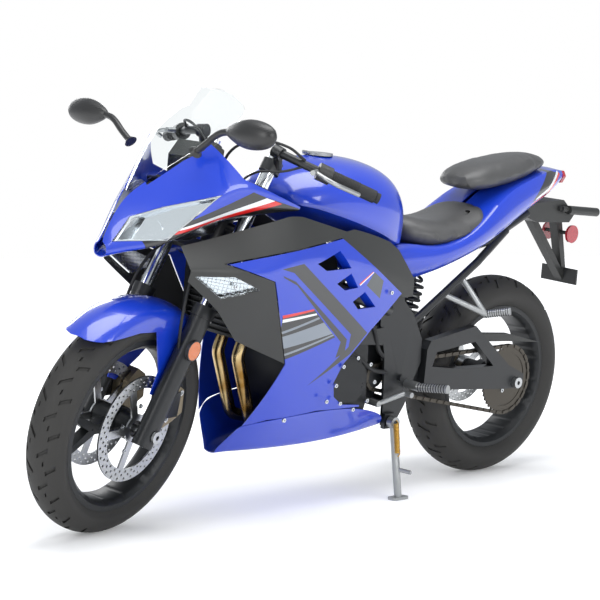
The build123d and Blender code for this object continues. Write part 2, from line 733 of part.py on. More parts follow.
caliper_outline = [(-112, 8), (-74, -4), (-70, 80), (-108, 110), (-142, 90), (-150, 26)]
left_caliper_block = axle_plate(caliper_outline, front_disc_offset - 22, caliper_face)
caliper_slot = axle_plate([(-60, -20), (-60, 130), (-160, 130), (-160, -20)],
                          front_disc_offset - disc_thickness - 1.5, front_disc_offset + 1.5)
left_caliper = cut(left_caliper_block, common(caliper_slot, cross_bar(front_axle.X, front_axle.Z, 40, 80,
                                                                      disc_radius + 3)))
front_calipers = both_sides(left_caliper)

reflector_seat = Vector(station(1310), fork_half_span + slider_radius, 508)
left_reflector = rod(reflector_seat, reflector_seat + Vector(0, 7, 0), 24)
fork_reflectors = both_sides(left_reflector)

cowl_outer = cowl_form()
lamp_rows = [(30, 749), (43, 812), (98, 843), (160, 871), (183, 883), (163, 838), (127, 764), (69, 755)]
lamp_window = front_plate(lamp_rows, 1235, 1480)
cowl_top_opening = front_plate([(-122, 1100), (-122, 985), (-90, 955), (-36, 880), (36, 880), (90, 955),
                                (122, 985), (122, 1100)], 900, 1378)
cowl_rear_cut = side_plate([(900, 1200), (900, 845), (1017, 859), (1199, 924), (1268, 1012), (1300, 1200)],
                           -300, 300)
with BuildPart() as cowl_body:
    add(cowl_outer)
    add([cowl_hollow, lamp_window, mirrored(lamp_window), cowl_top_opening, cowl_rear_cut],
        mode=Mode.SUBTRACT)
nose_cowl = cowl_body.part

lamp_fit = front_plate(inset(lamp_rows, panel_gap), 1235, 1480)
lamp_glass = cut(common(cowl_outer, lamp_fit),
                 cowl_form(panel_wall - 0.5)).solids().sort_by(SortBy.VOLUME)[-1]
headlamp_lenses = both_sides(lamp_glass)
lamp_bowl_block = common(cowl_form(panel_wall), lamp_fit)
lamp_hollow = cut(common(cowl_form(panel_wall - 1),
                         front_plate(inset(lamp_rows, panel_gap + 4), 1230, 1480)),
                  body_form(cowl_rows, panel_wall, -45))
left_lamp_bowl = cut(lamp_bowl_block, lamp_hollow)
headlamp_bowls = both_sides(left_lamp_bowl)

# Windscreen: level crescents. Each row: height, centre x, edge x and half width.
screen_rows = [(872, 1412, 1406, 10), (972, 1352, 1300, 92), (1037, 1300, 1226, 140),
               (1091, 1250, 1136, 136), (1135, 1200, 1180, 62)]
with BuildPart() as screen_body:
    for height, centre_x, edge_x, half in screen_rows:
        centre_x = station(centre_x)
        edge_x = station(edge_x)
        with BuildSketch(Plane.XY.offset(height)):
            with BuildLine():
                ThreePointArc((edge_x, -half), (centre_x, 0), (edge_x, half))
                Line((edge_x, half), (edge_x - screen_wall, half - screen_wall))
                ThreePointArc((edge_x - screen_wall, half - screen_wall), (centre_x - screen_wall, 0),
                              (edge_x - screen_wall, screen_wall - half))
                Line((edge_x - screen_wall, screen_wall - half), (edge_x, -half))
            make_face()
    loft(ruled=True)
    add(cowl_form(-running_gap), mode=Mode.SUBTRACT)
windscreen = screen_body.part.solids().sort_by(SortBy.VOLUME)[-1]

instrument_panel = side_plate([(1180, dash_floor), (1175, 985), (1205, 1000), (1235, 960),
                               (1235, dash_floor)], -78, 78)

# Mirrors: a base on the cowl, a stalk and a faceted shell
mirror_rows = [(250, 8, 10), (285, 22, 26), (330, 34, 42), (395, 30, 36), (425, 12, 16)]
with BuildPart() as mirror_shell:
    for y, half_depth, half_height in mirror_rows:
        with BuildSketch(Plane.XZ.offset(-y)):
            with Locations((station(1312), 1042)):
                RegularPolygon(half_height, 6)
    loft(ruled=True)
mirror_foot = Vector(station(1312), 142, 984)
left_mirror = cut(join(mirror_shell.part, rod(mirror_foot, mirror_foot + Vector(-2, 133, 51), 9),
                       rod(mirror_foot + Vector(-12, -46, -44), mirror_foot + Vector(0, 4, 8), 16)),
                  cowl_form(-running_gap))
mirrors = both_sides(left_mirror)

side_shell = cut(side_form(0), side_hollow)

# Belly pan: rows of station x, then (y, z) of its top edge, lower edge and keel.
# Its front closes in a blunt prow behind the tyre.
belly_rows = [
    (566, (142, 264), (118, 229), (8, 219)),
    (700, (152, 299), (118, 208), (8, 194)),
    (850, (160, 302), (110, 196), (8, 186)),
    (1000, (140, 284), (76, 188), (8, 178)),
    (1056, (87, 262), (40, 182), (8, 174)),
    (1060, (84, 254), (38, 181), (8, 174)),
    (1082, (24, 188), (22, 176), (8, 172)),
]
belly_outer = body_form(belly_rows)
belly_open = [(x, run_on(half[0], half[1], open_reach if x < 1058 else 0), *half[1:])
              for x, *half in belly_rows]
belly_inner = body_form(belly_open, panel_wall, -panel_wall)
belly_pan = cut(belly_outer, belly_inner)

# Side outlines, as (x, z) points
arrow_outline = [(1336, 753), (1017, 838), (815, 790), (845, 778), (1250, 718), (1098, 672), (1066, 598),
                 (998, 446), (1163, 514), (1243, 598), (1338, 672)]
lamp_outline = [(1326, 686), (1225, 687), (1140, 652), (1247, 630)]
blue_outline = [(1234, 716.8), (845, 775), (585, 618), (700, 522), (788, 430), (808, 380), (796, 338),
                (760, 312), (686, 304), (686, 299), (850, 303), (1000, 285), (1054, 265), (994, 444),
                (1062, 598), (1094, 672)]
# Three vents, one below the other. Each has a louvre blade along its lower edge.
vent_outlines = [[(950, 714), (862, 745), (816, 698), (912, 694)],
                 [(866, 658), (814, 684), (779, 644), (832, 639)],
                 [(794, 606), (749, 631), (696, 587), (768, 584)]]
louvre_depth = 26
louvre_wall = 3


def side_piece(shell, outline, gap=0.0):
    """The stretch of a shell inside a side outline, on the left."""
    return common(shell, side_plate(inset(outline, gap), 12, 300))


arrow_left = cut(side_piece(side_shell, arrow_outline, panel_gap),
                 side_plate(lamp_outline, 12, 300))
arrow_panels = both_sides(arrow_left)
turn_lamp_left = side_piece(side_shell, lamp_outline, panel_gap)
front_turn_lamps = both_sides(turn_lamp_left)
blue_shell = cut(side_piece(side_shell, blue_outline, panel_gap),
                 *[side_plate(outline, 12, 300) for outline in vent_outlines])
louvre_space = cut(side_form(0), side_form(louvre_depth, open_reach))
louvres = []
for outline in vent_outlines:
    (back_x, back_z), (front_x, front_z) = outline[2:]
    blade_line = [(back_x - 4, back_z), (front_x + 4, front_z), (front_x + 4, front_z - louvre_wall),
                  (back_x - 4, back_z - louvre_wall)]
    louvres.append(common(louvre_space, side_plate(blade_line, 12, 300)))
side_panel_left = join(blue_shell, *louvres)
side_panel_right = mirrored(side_panel_left)

# Tank with its filler cap. Rows: station x, then (y, z) from the top centre round to the keel.
tank_rows = [
    (515, (8, 884), (55, 872), (92, 820), (90, 750), (8, 744)),
    (560, (8, 944), (85, 928), (138, 858), (124, 742), (8, 716)),
    (650, (8, 973), (95, 958), (160, 888), (152, 778), (8, 720)),
    (760, (8, 982), (95, 970), (166, 905), (160, 812), (8, 740)),
    (860, (8, 978), (90, 964), (158, 900), (158, 838), (8, 765)),
    (940, (8, 950), (80, 940), (138, 898), (150, 856), (8, 800)),
    (985, (8, 900), (55, 894), (95, 878), (112, 852), (8, 840)),
]
cap_x = 789
cap_radius = 42
cap_seat_z = 977.5
cap_top = 985
neck_radius = 28
neck_floor = 962
fuel_tank = cut(body_form(tank_rows), rod((cap_x, 0, cap_seat_z), (cap_x, 0, 1020), cap_radius + 12),
                rod((cap_x, 0, neck_floor), (cap_x, 0, 1020), neck_radius))
cap_hinge_x = cap_x + cap_radius + 2
fuel_cap = join(rod((cap_x, 0, cap_seat_z + running_gap), (cap_x, 0, cap_top), cap_radius),
                rod((cap_x, 0, neck_floor + 8), (cap_x, 0, cap_top - 2), neck_radius - 6),
                cross_bar(cap_hinge_x, cap_top, -11, 11, 4))

cover_outline = [(850, 788), (720, 808), (600, 738), (512, 640), (505, 606), (560, 604), (592, 612), (838, 760)]
cover_shell = cut(side_form(panel_wall + panel_gap), side_form(2 * panel_wall + panel_gap, open_reach))
frame_cover_left = side_piece(cover_shell, cover_outline)
frame_covers = both_sides(frame_cover_left)

# Seats. Rows: station x, then (y, z) from the top centre round to the underside.
rider_rows = [
    (145, (8, 860), (70, 856), (104, 838), (104, 812), (8, 806)),
    (170, (8, 866), (80, 862), (130, 838), (132, 800), (8, 794)),
    (240, (8, 832), (90, 830), (150, 800), (150, 772), (8, 766)),
    (330, (8, 806), (90, 804), (150, 780), (150, 745), (8, 739)),
    (420, (8, 812), (80, 810), (128, 784), (136, 728), (8, 722)),
    (470, (8, 824), (62, 820), (98, 794), (106, 742), (8, 736)),
    (503, (8, 826), (40, 822), (62, 800), (66, 766), (8, 760)),
]
rider_seat = body_form(rider_rows)
pillion_rows = [
    (-158, (8, 1002), (30, 1000), (42, 990), (42, 982), (8, 980)),
    (-130, (8, 1014), (52, 1010), (66, 990), (66, 974), (8, 972)),
    (-60, (8, 1016), (66, 1012), (88, 985), (90, 952), (8, 948)),
    (30, (8, 1003), (74, 1000), (102, 968), (104, 922), (8, 918)),
    (130, (8, 984), (74, 980), (104, 950), (106, 904), (8, 900)),
    (215, (8, 962), (62, 958), (90, 930), (92, 894), (8, 890)),
    (248, (8, 940), (42, 936), (58, 920), (60, 902), (8, 900)),
]
pillion_seat = body_form(pillion_rows)

# Tail cowl, open below and in front. Rows as for the tank.
tail_rows = [
    (-225, (8, 968), (42, 965), (52, 948), (40, 926)),
    (-160, (8, 978), (62, 972), (84, 930), (62, 884)),
    (-60, (8, 955), (88, 950), (108, 900), (84, 842)),
    (60, (8, 922), (104, 915), (126, 856), (104, 778)),
    (150, (8, 880), (118, 868), (142, 810), (118, 730)),
    (260, (8, 780), (136, 778), (154, 762), (130, 690)),
    (400, (8, 734), (132, 732), (150, 720), (136, 644)),
    (500, (8, 742), (104, 752), (138, 735), (134, 614)),
    (585, (8, 734), (92, 736), (124, 728), (128, 628)),
]


def tail_form(wall, reach=0.0):
    """The tail form moved inwards by a wall, with its lower edges run on."""
    sections = []
    for x, *upper, crease, low in tail_rows:
        low_end = run_on(low, crease, reach)
        sections.append((x, *upper, crease, low_end, (8, low_end[1] - 4)))
    return body_form(sections, wall)


tail_cowl = cut(tail_form(0), tail_form(panel_wall, open_reach), body_form(rider_rows, -seat_gap),
                body_form(pillion_rows, -seat_gap), body_form(tank_rows, -panel_gap))

tail_end = tail_rows[0][0]
tail_lamp = front_plate([(-42, 965), (42, 965), (52, 948), (40, 926), (-40, 926), (-52, 948)],
                        tail_end - 14, tail_end)

# Rear undertray, number bracket, turn lamps and side reflectors
with BuildPart() as bracket_body:
    add(side_plate([(-65, 818), (-65, 846), (-120, 862), (-250, 872), (-312, 826), (-290, 800), (-130, 800)], -46, 46))
    add(side_plate([(-135, 805), (-165, 805), (-348, 612), (-334, 600)], -16, 16))
    add(side_plate([(-262, 805), (-290, 805), (-352, 600), (-334, 600)], -16, 16))
    add(side_plate([(-328, 598), (-326, 648), (-332, 648), (-334, 598)], -72, 72))
    add(cross_bar(-290, 765, -44, 44, 6))
tail_bracket = bracket_body.part

left_indicator = join(cross_bar(-232, 845, 46, 56, 9), rod((-232, 56, 845), (-262, 56, 842), 9),
                      rod((-258, 62, 842), (-400, 66, 836), 14))
rear_turn_lamps = both_sides(left_indicator)
left_red = rod((-308, 44, 762), (-308, 52, 762), 29)
rear_reflectors = both_sides(left_red)

# Footpegs on their brackets, pedals
left_rider_peg = join(cross_bar(471, 342, plate_half_span + plate_thickness, 168, 13),
                      rod((472, 165, 340), (450, 262, 354), 12))
rider_pegs = both_sides(left_rider_peg)
hanger_route = [(331, 99, 594), (190, 146, 538), (263, 100, 644)]
left_hanger = cut(join(rod(hanger_route[0], hanger_route[1], 9), rod(hanger_route[1], hanger_route[2], 9),
                       rod((188, 140, 536), (150, 208, 556), 11)), left_strut)
passenger_pegs = both_sides(left_hanger)

# Muffler, hung from the right peg's bracket by a strap
muffler_strap = side_plate([(206, 320), (226, 320), (198, 541), (182, 541)], -159, -155)
outlet_end = muffler_end + muffler_way * 22
muffler = cut(join(rod(muffler_start, muffler_end, 50), rod(muffler_end, outlet_end, 34), muffler_strap),
              rod(muffler_end - muffler_way * 30, outlet_end + muffler_way * 5, 27), mirrored(left_hanger))

gear_lever = join(cross_bar(612, 300, 74, 156, 9), rod((612, 150, 300), (505, 150, 322), 7),
                  cross_bar(505, 322, 144, 178, 8))
brake_pedal = join(cross_bar(528, 292, -162, -plate_half_span - plate_thickness, 11),
                   rod((528, -158, 292), (600, -166, 276), 7), rod((600, -166, 276), (652, -166, 290), 7),
                   cross_bar(652, 290, -188, -160, 8))

# Chain guard over the top run, rear caliper
chain_guard = side_plate([(300, 440), (196, 472), (20, rear_axle.Z + 148), (-134, rear_axle.Z + 113),
                          (20, rear_axle.Z + 124), (200, 446)], chain_line - 6, arm_inner)
rear_caliper_block = side_plate([(52, rear_axle.Z + 86), (52, rear_axle.Z + 40), (76, rear_axle.Z + 22),
                                 (124, rear_axle.Z + 30), (124, rear_axle.Z + 86)],
                                -arm_inner, -rear_disc_offset + disc_thickness + 18)
rear_disc_sweep = cross_bar(rear_axle.X, rear_axle.Z, -rear_disc_offset - 2,
                            -rear_disc_offset + disc_thickness + 2, rear_disc_radius + 3)
rear_caliper = cut(rear_caliper_block, rear_disc_sweep)


# The parked pose

def turn_about(axis_point, direction, angle, vector):
    """A point turned about an axis through another point."""
    arm = vector - axis_point
    c = cos(radians(angle))
    s = sin(radians(angle))
    return axis_point + arm * c + direction.cross(arm) * s + direction * (direction.dot(arm) * (1 - c))


def lowest_point(axle, axis, radius, crown):
    """The height of a leaning tyre's lowest point, from its axle and the round of its crown."""
    return axle.Z - (radius - crown) * sqrt(1 - axis.Z**2) - crown


def stance(pitch):
    """The lean and pitch of the whole machine, as one location without its lift."""
    return Location((0, 0, 0), (0, pitch, 0)) * Location((0, 0, 0), (-parked_lean, 0, 0))


def placed(location, vector):
    """A point moved by a location."""
    return (location * Location(vector)).position


def wheel_drop(pitch):
    """Heights of the two contact points at a pitch."""
    where = stance(pitch)
    turned_axle = turn_about(steer_foot, steer_up, parked_steer, front_axle)
    turned_end = turn_about(steer_foot, steer_up, parked_steer, front_axle + Vector(0, 1, 0))
    front = placed(where, turned_axle)
    front_way = placed(where, turned_end) - front
    rear = placed(where, rear_axle)
    rear_way = placed(where, rear_axle + Vector(0, 1, 0)) - rear
    return (lowest_point(front, front_way, front_tyre_radius, front_tyre_width / 2),
            lowest_point(rear, rear_way, rear_tyre_radius, rear_tyre_width / 2))


pitch = 0.0
for step in range(4):
    front_drop, rear_drop = wheel_drop(pitch)
    pitch += (front_drop - rear_drop) / wheelbase * 180 / 3.14159265
lift = -wheel_drop(pitch)[1]
parked = Location((0, 0, lift)) * stance(pitch)

# Side stand, drawn where it stands: from its pivot down to a flat foot on the ground
stand_top = placed(parked, Vector(stand_pivot_x, stand_pivot_y, stand_pivot_z))
stand_across = placed(parked, Vector(stand_pivot_x, stand_pivot_y + 1, stand_pivot_z)) - stand_top
foot_height = 8
stand_end = Vector(stand_foot_x, stand_foot_y, foot_height / 2)
eye_half = 10
with BuildPart() as stand_body:
    add(rod(stand_top - stand_across * eye_half, stand_top + stand_across * eye_half, 17))
    add(rod(stand_top, stand_end, stand_tube_radius))
    with BuildSketch(Plane.XY):
        with Locations((stand_foot_x, stand_foot_y)):
            RectangleRounded(58, 36, 10)
    extrude(amount=foot_height)
    add(rod(stand_top + (stand_end - stand_top) * 0.62, stand_top + (stand_end - stand_top) * 0.62
            + Vector(-12, 46, -6), 6))
    add(rod(stand_top - stand_across * 20, stand_top + stand_across * 20, 8 + running_gap),
        mode=Mode.SUBTRACT)
side_stand = stand_body.part

# Write every node in its parked place
fixed_nodes = {
    "frame": frame_steel, "subframe": subframe, "engine": engine, "radiator": radiator,
    "exhaust_headers": exhaust_headers, "muffler": muffler, "shock_absorber": shock_absorber,
    "swing_arm": swing_arm, "rear_axle": rear_axle_shaft, "drive_chain": drive_chain,
    "chain_guard": chain_guard, "rear_caliper": rear_caliper, "nose_cowl": nose_cowl,
    "headlamp_lenses": headlamp_lenses, "headlamp_bowls": headlamp_bowls, "windscreen": windscreen,
    "instrument_panel": instrument_panel, "mirrors": mirrors, "arrow_panels": arrow_panels,
    "front_turn_lamps": front_turn_lamps, "side_panel_left": side_panel_left,
    "side_panel_right": side_panel_right, "belly_pan": belly_pan, "fuel_tank": fuel_tank,
    "frame_covers": frame_covers, "rider_seat": rider_seat, "pillion_seat": pillion_seat,
    "tail_cowl": tail_cowl, "tail_lamp": tail_lamp, "tail_bracket": tail_bracket,
    "rear_turn_lamps": rear_turn_lamps, "rear_reflectors": rear_reflectors,
    "rider_pegs": rider_pegs, "passenger_pegs": passenger_pegs, "gear_lever": gear_lever,
    "brake_pedal": brake_pedal,
    "rear_tyre": rear_tyre, "rear_rim": rear_rim, "rear_disc": rear_disc,
    "rear_sprocket": rear_sprocket, "fuel_cap": fuel_cap,
}
steered_nodes = {
    "fork_clamps": fork_clamps, "fork_tubes": fork_tubes, "fork_sliders": fork_sliders,
    "front_axle": front_axle_shaft, "handlebars": handlebars, "grips": grips,
    "switch_boxes": switch_boxes, "levers": levers, "front_mudguard": front_mudguard,
    "front_calipers": front_calipers, "fork_reflectors": fork_reflectors,
    "front_tyre": front_tyre, "front_rim": front_rim, "front_discs": front_discs,
}
steering_axis = Axis(steer_foot, steer_up)
standing = {}
for name, piece in fixed_nodes.items():
    standing[name] = piece.moved(parked)
for name, piece in steered_nodes.items():
    standing[name] = piece.rotate(steering_axis, parked_steer).moved(parked)
standing["side_stand"] = side_stand

boxes = [piece.bounding_box() for piece in standing.values()]
middle_x = (min(box.min.X for box in boxes) + max(box.max.X for box in boxes)) / 2
middle_y = (min(box.min.Y for box in boxes) + max(box.max.Y for box in boxes)) / 2
to_origin = Location((-middle_x, -middle_y, 0))
for name, piece in standing.items():
    node = piece.moved(to_origin)
    node.label = name
    export_step(node, f"parts/{name}.step")
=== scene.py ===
# %% [markdown]
# A sport motorcycle on its side stand, dressed for a studio picture.
# The frame holds the machine's pieces at their real size. This lesson gives each of them
# its real surface, and models again those whose form is too soft or too fine for the frame.

# %% Load the frame
import bmesh
import bpy
import json
import math
from mathutils import Matrix, Vector


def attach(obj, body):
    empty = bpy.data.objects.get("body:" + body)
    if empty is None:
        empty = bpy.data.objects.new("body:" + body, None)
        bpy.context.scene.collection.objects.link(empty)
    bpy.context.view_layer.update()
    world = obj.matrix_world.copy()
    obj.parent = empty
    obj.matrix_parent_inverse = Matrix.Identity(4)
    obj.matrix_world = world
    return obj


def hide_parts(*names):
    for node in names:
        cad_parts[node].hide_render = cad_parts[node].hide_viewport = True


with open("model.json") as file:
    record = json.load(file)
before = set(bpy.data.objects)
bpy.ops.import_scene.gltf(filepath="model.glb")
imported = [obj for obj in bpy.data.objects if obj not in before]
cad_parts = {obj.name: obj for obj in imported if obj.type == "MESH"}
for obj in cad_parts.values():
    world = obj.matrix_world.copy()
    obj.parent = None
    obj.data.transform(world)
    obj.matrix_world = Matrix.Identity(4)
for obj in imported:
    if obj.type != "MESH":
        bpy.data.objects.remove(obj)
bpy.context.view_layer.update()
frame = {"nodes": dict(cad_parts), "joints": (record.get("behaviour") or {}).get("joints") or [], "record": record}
print("frame nodes:", len(frame["nodes"]))

# %% [markdown]
# The machine leans on its stand with its bars turned. Every form is easier to draw on an
# upright machine, so two matrices carry points from there: one for what is fixed to the
# frame, one for what turns with the fork. Both are worked out from the frame's own joints.

# %% Upright coordinates, in millimetres
MM = 0.001
RAKE = math.radians(26)
REAR_AXLE = Vector((0, 0, 314))
FRONT_AXLE = Vector((1400, 0, 293))
joints = {joint["name"]: joint for joint in frame["joints"]}


def upright_matrix(left, steer_up, anchor_row, anchor_upright):
    """The matrix from upright millimetres to the frame's metres, from two of its axes."""
    level = -steer_up.cross(left)
    ahead = level * math.cos(RAKE) - steer_up * math.sin(RAKE)
    up = level * math.sin(RAKE) + steer_up * math.cos(RAKE)
    turn = Matrix((ahead, left, up)).transposed().to_4x4()
    return Matrix.Translation(anchor_row) @ turn @ Matrix.Scale(MM,
                                                                4) @ Matrix.Translation(-anchor_upright)


rear_joint = joints["rear_wheel_spin"]
front_joint = joints["front_wheel_spin"]
steer_up = Vector(joints["steering"]["axis"])
FIXED = upright_matrix(Vector(rear_joint["axis"]), steer_up, Vector(rear_joint["pos_m"]), REAR_AXLE)
STEERED = upright_matrix(Vector(front_joint["axis"]), steer_up, Vector(front_joint["pos_m"]), FRONT_AXLE)
PLACES = {"root": FIXED, "rear_wheel": FIXED, "fuel_cap": FIXED, "side_stand": FIXED,
          "steering": STEERED, "front_wheel": STEERED}
bar_turn = math.degrees(Vector(rear_joint["axis"]).angle(Vector(front_joint["axis"])))
print(f"steering turned {bar_turn:.2f} degrees")

# %% [markdown]
# The camera stands where the photographer stood, a little above the tank and ahead of the
# front wheel on the left. The lens keeps the same narrow view.

# %% Camera
camera_data = bpy.data.cameras.new("camera")
camera = bpy.data.objects.new("camera", camera_data)
bpy.context.scene.collection.objects.link(camera)
camera_data.lens = 86.03
camera_data.sensor_width = 36
camera.rotation_mode = "QUATERNION"
camera.location = (2.79623, 2.88798, 0.7623)
camera.rotation_quaternion = Vector((0.6647, 0.7455, 0.0487)).to_track_quat("Z", "Y")
bpy.context.scene.camera = camera

# %% [markdown]
# Colours are written as they look on a screen, in hex, and turned to linear light once.
# One helper adds a shader node with its settings and links, for every material below.


# %% Colours and nodes
def linear(hex_colour):
    """The linear colour of an sRGB hex value."""
    parts = [int(hex_colour[i:i + 2], 16) / 255 for i in (1, 3, 5)]
    return [c / 12.92 if c <= 0.04045 else ((c + 0.055) / 1.055) ** 2.4 for c in parts] + [1.0]


def add_node(tree, kind, links=(), **settings):
    """A node with its settings. A key that names an input sets that socket's value, and each
    link is (input name or index, source node, output name or index)."""
    node = tree.nodes.new(kind)
    for key, value in settings.items():
        if hasattr(node, key):
            setattr(node, key, value)
        else:
            node.inputs[key.replace("_", " ")].default_value = value
    for target, source, output in links:
        tree.links.new(source.outputs[output], node.inputs[target])
    return node


def shader_of(name, hex_colour, roughness, **sockets):
    """A new material with the constants of its shader, which it returns with its tree."""
    material = bpy.data.materials.new(name)
    material.use_nodes = True
    shader = material.node_tree.nodes["Principled BSDF"]
    shader.inputs["Base Color"].default_value = linear(hex_colour)
    shader.inputs["Roughness"].default_value = roughness
    for key, value in sockets.items():
        shader.inputs[key.replace("_", " ")].default_value = value
    return material, shader


def grained(made, size_mm, height_mm, kind="ShaderNodeTexNoise"):
    """Raises a fine grain on a material: its pattern's size and height are in millimetres."""
    material, shader = made
    tree = material.node_tree
    place = add_node(tree, "ShaderNodeTexCoord")
    pattern = add_node(tree, kind, [("Vector", place, "Object")], Scale=1 / (size_mm * MM))
    height = "Distance" if kind == "ShaderNodeTexVoronoi" else 0
    bump = add_node(tree, "ShaderNodeBump", [("Height", pattern, height)], Strength=0.6,
                    Distance=height_mm * MM)
    tree.links.new(bump.outputs["Normal"], shader.inputs["Normal"])
    return made


# %% [markdown]
# The fairing is ABS, injection moulded, sprayed blue and lacquered: a deep colour under a
# clear wet coat that mirrors the lamps. The tank is steel in the same paint.

# %% Painted surfaces
lacquer = dict(Coat_Weight=1.0, Coat_Roughness=0.03, IOR=1.5)
paints = {
    "blue_plastic": shader_of("lacquered_abs_blue", "#0c36b6", 0.32, **lacquer),
    "blue_paint": shader_of("painted_steel_blue", "#0c36b6", 0.30, **lacquer),
    "black_film": shader_of("vinyl_film_black", "#17181a", 0.28, **lacquer),
    "white_film": shader_of("vinyl_film_white", "#dfe2e4", 0.30, **lacquer),
    "red_film": shader_of("vinyl_film_red", "#cf1d1a", 0.30, **lacquer),
    "grey_film": shader_of("vinyl_film_grey", "#77808a", 0.30, **lacquer),
    "dark_film": shader_of("vinyl_film_graphite", "#33393c", 0.30, **lacquer),
}

# %% [markdown]
# Unpainted plastic is black polypropylene with the fine leather-like grain of its mould.
# The powder coat on steel tubes is smoother but slightly dimpled, like orange peel. Castings
# keep the grain of their sand or die, and machined steel stays bright.

# %% Plastics, metals and rubber
paints.update({
    "dark_plastic": grained(shader_of("grained_polypropylene", "#2b2c2b", 0.46), 0.9, 0.05),
    "mirror_black": grained(shader_of("moulded_nylon_black", "#232323", 0.4), 0.8, 0.04),
    "black_paint": grained(shader_of("powder_coated_steel", "#1b1d1f", 0.36), 2.5, 0.03),
    "engine_black": grained(shader_of("die_cast_aluminium_black", "#1d1f21", 0.42, Metallic=0.25), 1.2,
                            0.08),
    "cast_grey": grained(shader_of("bead_blasted_aluminium", "#a2a4a4", 0.38, Metallic=0.9), 0.7, 0.04),
    "bronze_grey": grained(shader_of("anodised_caliper_bronze", "#857a66", 0.4, Metallic=0.7), 0.8, 0.04),
    "disc_steel": shader_of("ground_stainless_steel", "#b9bbbc", 0.28, Metallic=1.0),
    "chain_steel": shader_of("oiled_chain_steel", "#4f4b45", 0.36, Metallic=0.9),
    "chrome": shader_of("hard_chromed_steel", "#d7dadd", 0.12, Metallic=1.0),
    "zinc": shader_of("yellow_passivated_zinc", "#c9a04e", 0.32, Metallic=1.0),
    "bolt_steel": shader_of("zinc_plated_steel", "#c7cacc", 0.25, Metallic=1.0),
    "grip_rubber": grained(shader_of("moulded_grip_rubber", "#17181a", 0.62), 1.0, 0.05),
})

# %% [markdown]
# The headers are stainless tubes whose inner skin has burnt to straw and bronze. The tint
# runs in bands along the pipe, so a slow noise over a few centimetres mixes two metals.

# %% Heat-tinted steel
headers, headers_shader = shader_of("heat_tinted_stainless", "#a98a55", 0.24, Metallic=1.0)
tree = headers.node_tree
place = add_node(tree, "ShaderNodeTexCoord")
bands = add_node(tree, "ShaderNodeTexNoise", [("Vector", place, "Object")], Scale=1 / (60 * MM))
tint = add_node(tree, "ShaderNodeValToRGB", [("Fac", bands, 0)])
tint.color_ramp.elements[0].position = 0.35
tint.color_ramp.elements[0].color = linear("#8f6b34")
tint.color_ramp.elements[1].position = 0.65
tint.color_ramp.elements[1].color = linear("#c9b284")
tree.links.new(tint.outputs["Color"], headers_shader.inputs["Base Color"])
paints["header_steel"] = (headers, headers_shader)

# %% [markdown]
# Tyre rubber is almost black, dull and slightly brown where it has weathered. The seats are
# stretched vinyl with a fine pebble grain. Lenses are clear acrylic; a thin sheet of it
# bends light a little, so the shells are given real walls.

# %% Rubber, vinyl and clear plastics
paints.update({
    "tyre_rubber": grained(shader_of("vulcanised_rubber", "#262523", 0.66), 1.6, 0.06),
    "seat_cover": grained(shader_of("pebbled_vinyl", "#474747", 0.42), 1.1, 0.07, "ShaderNodeTexVoronoi"),
    "screen_clear": shader_of("clear_polycarbonate", "#f6fafb", 0.02, Transmission_Weight=1.0, IOR=1.12),
    "lens_clear": shader_of("clear_acrylic_lens", "#f4f8fa", 0.03, Transmission_Weight=1.0, IOR=1.3),
    "lens_red": shader_of("red_acrylic_lens", "#b3142a", 0.15, Coat_Weight=1.0, Transmission_Weight=0.25),
    "lens_amber": shader_of("amber_acrylic_lens", "#e0700c", 0.18, Coat_Weight=1.0,
                            Transmission_Weight=0.25),
    "mirror_glass": shader_of("silvered_glass", "#dfe4e6", 0.02, Metallic=1.0),
    "lamp_silver": shader_of("vacuum_metallised_reflector", "#e8eaec", 0.16, Metallic=1.0),
    "dial_black": shader_of("printed_dial", "#0d0e10", 0.25, Coat_Weight=1.0),
})
print("materials:", len(paints))

# %% [markdown]
# A studio for glossy paint: an even pale world, four large soft lamps that draw long
# highlights, and a pale floor that keeps the shadow. The world is white only to the camera
# and through clear things, so the light on the paint stays plain. The floor glows more the
# farther it is from the machine, so it runs into the white without an edge.

# %% World, lamps and floor
scene = bpy.context.scene
scene.view_settings.view_transform = "Standard"
world = bpy.data.worlds.new("studio")
world.use_nodes = True
scene.world = world
tree = world.node_tree
tree.nodes.clear()
rays = add_node(tree, "ShaderNodeLightPath")
soft = add_node(tree, "ShaderNodeBackground", Color=linear("#e4e9f0"), Strength=0.62)
white = add_node(tree, "ShaderNodeBackground", Color=(1, 1, 1, 1), Strength=1.0)
seen = add_node(tree, "ShaderNodeMath", [(0, rays, "Is Camera Ray"), (1, rays, "Is Transmission Ray")],
                operation="MAXIMUM")
mixed = add_node(tree, "ShaderNodeMixShader", [(0, seen, 0), (1, soft, 0), (2, white, 0)])
add_node(tree, "ShaderNodeOutputWorld", [("Surface", mixed, 0)])


def lamp(name, at, aim, size, power):
    """A rectangular soft lamp at a point, aimed at another."""
    data = bpy.data.lights.new(name, "AREA")
    data.shape = "RECTANGLE"
    data.size, data.size_y = size
    data.energy = power
    holder = bpy.data.objects.new(name, data)
    scene.collection.objects.link(holder)
    holder.location = at
    holder.rotation_mode = "QUATERNION"
    holder.rotation_quaternion = (Vector(at) - Vector(aim)).to_track_quat("Z", "Y")


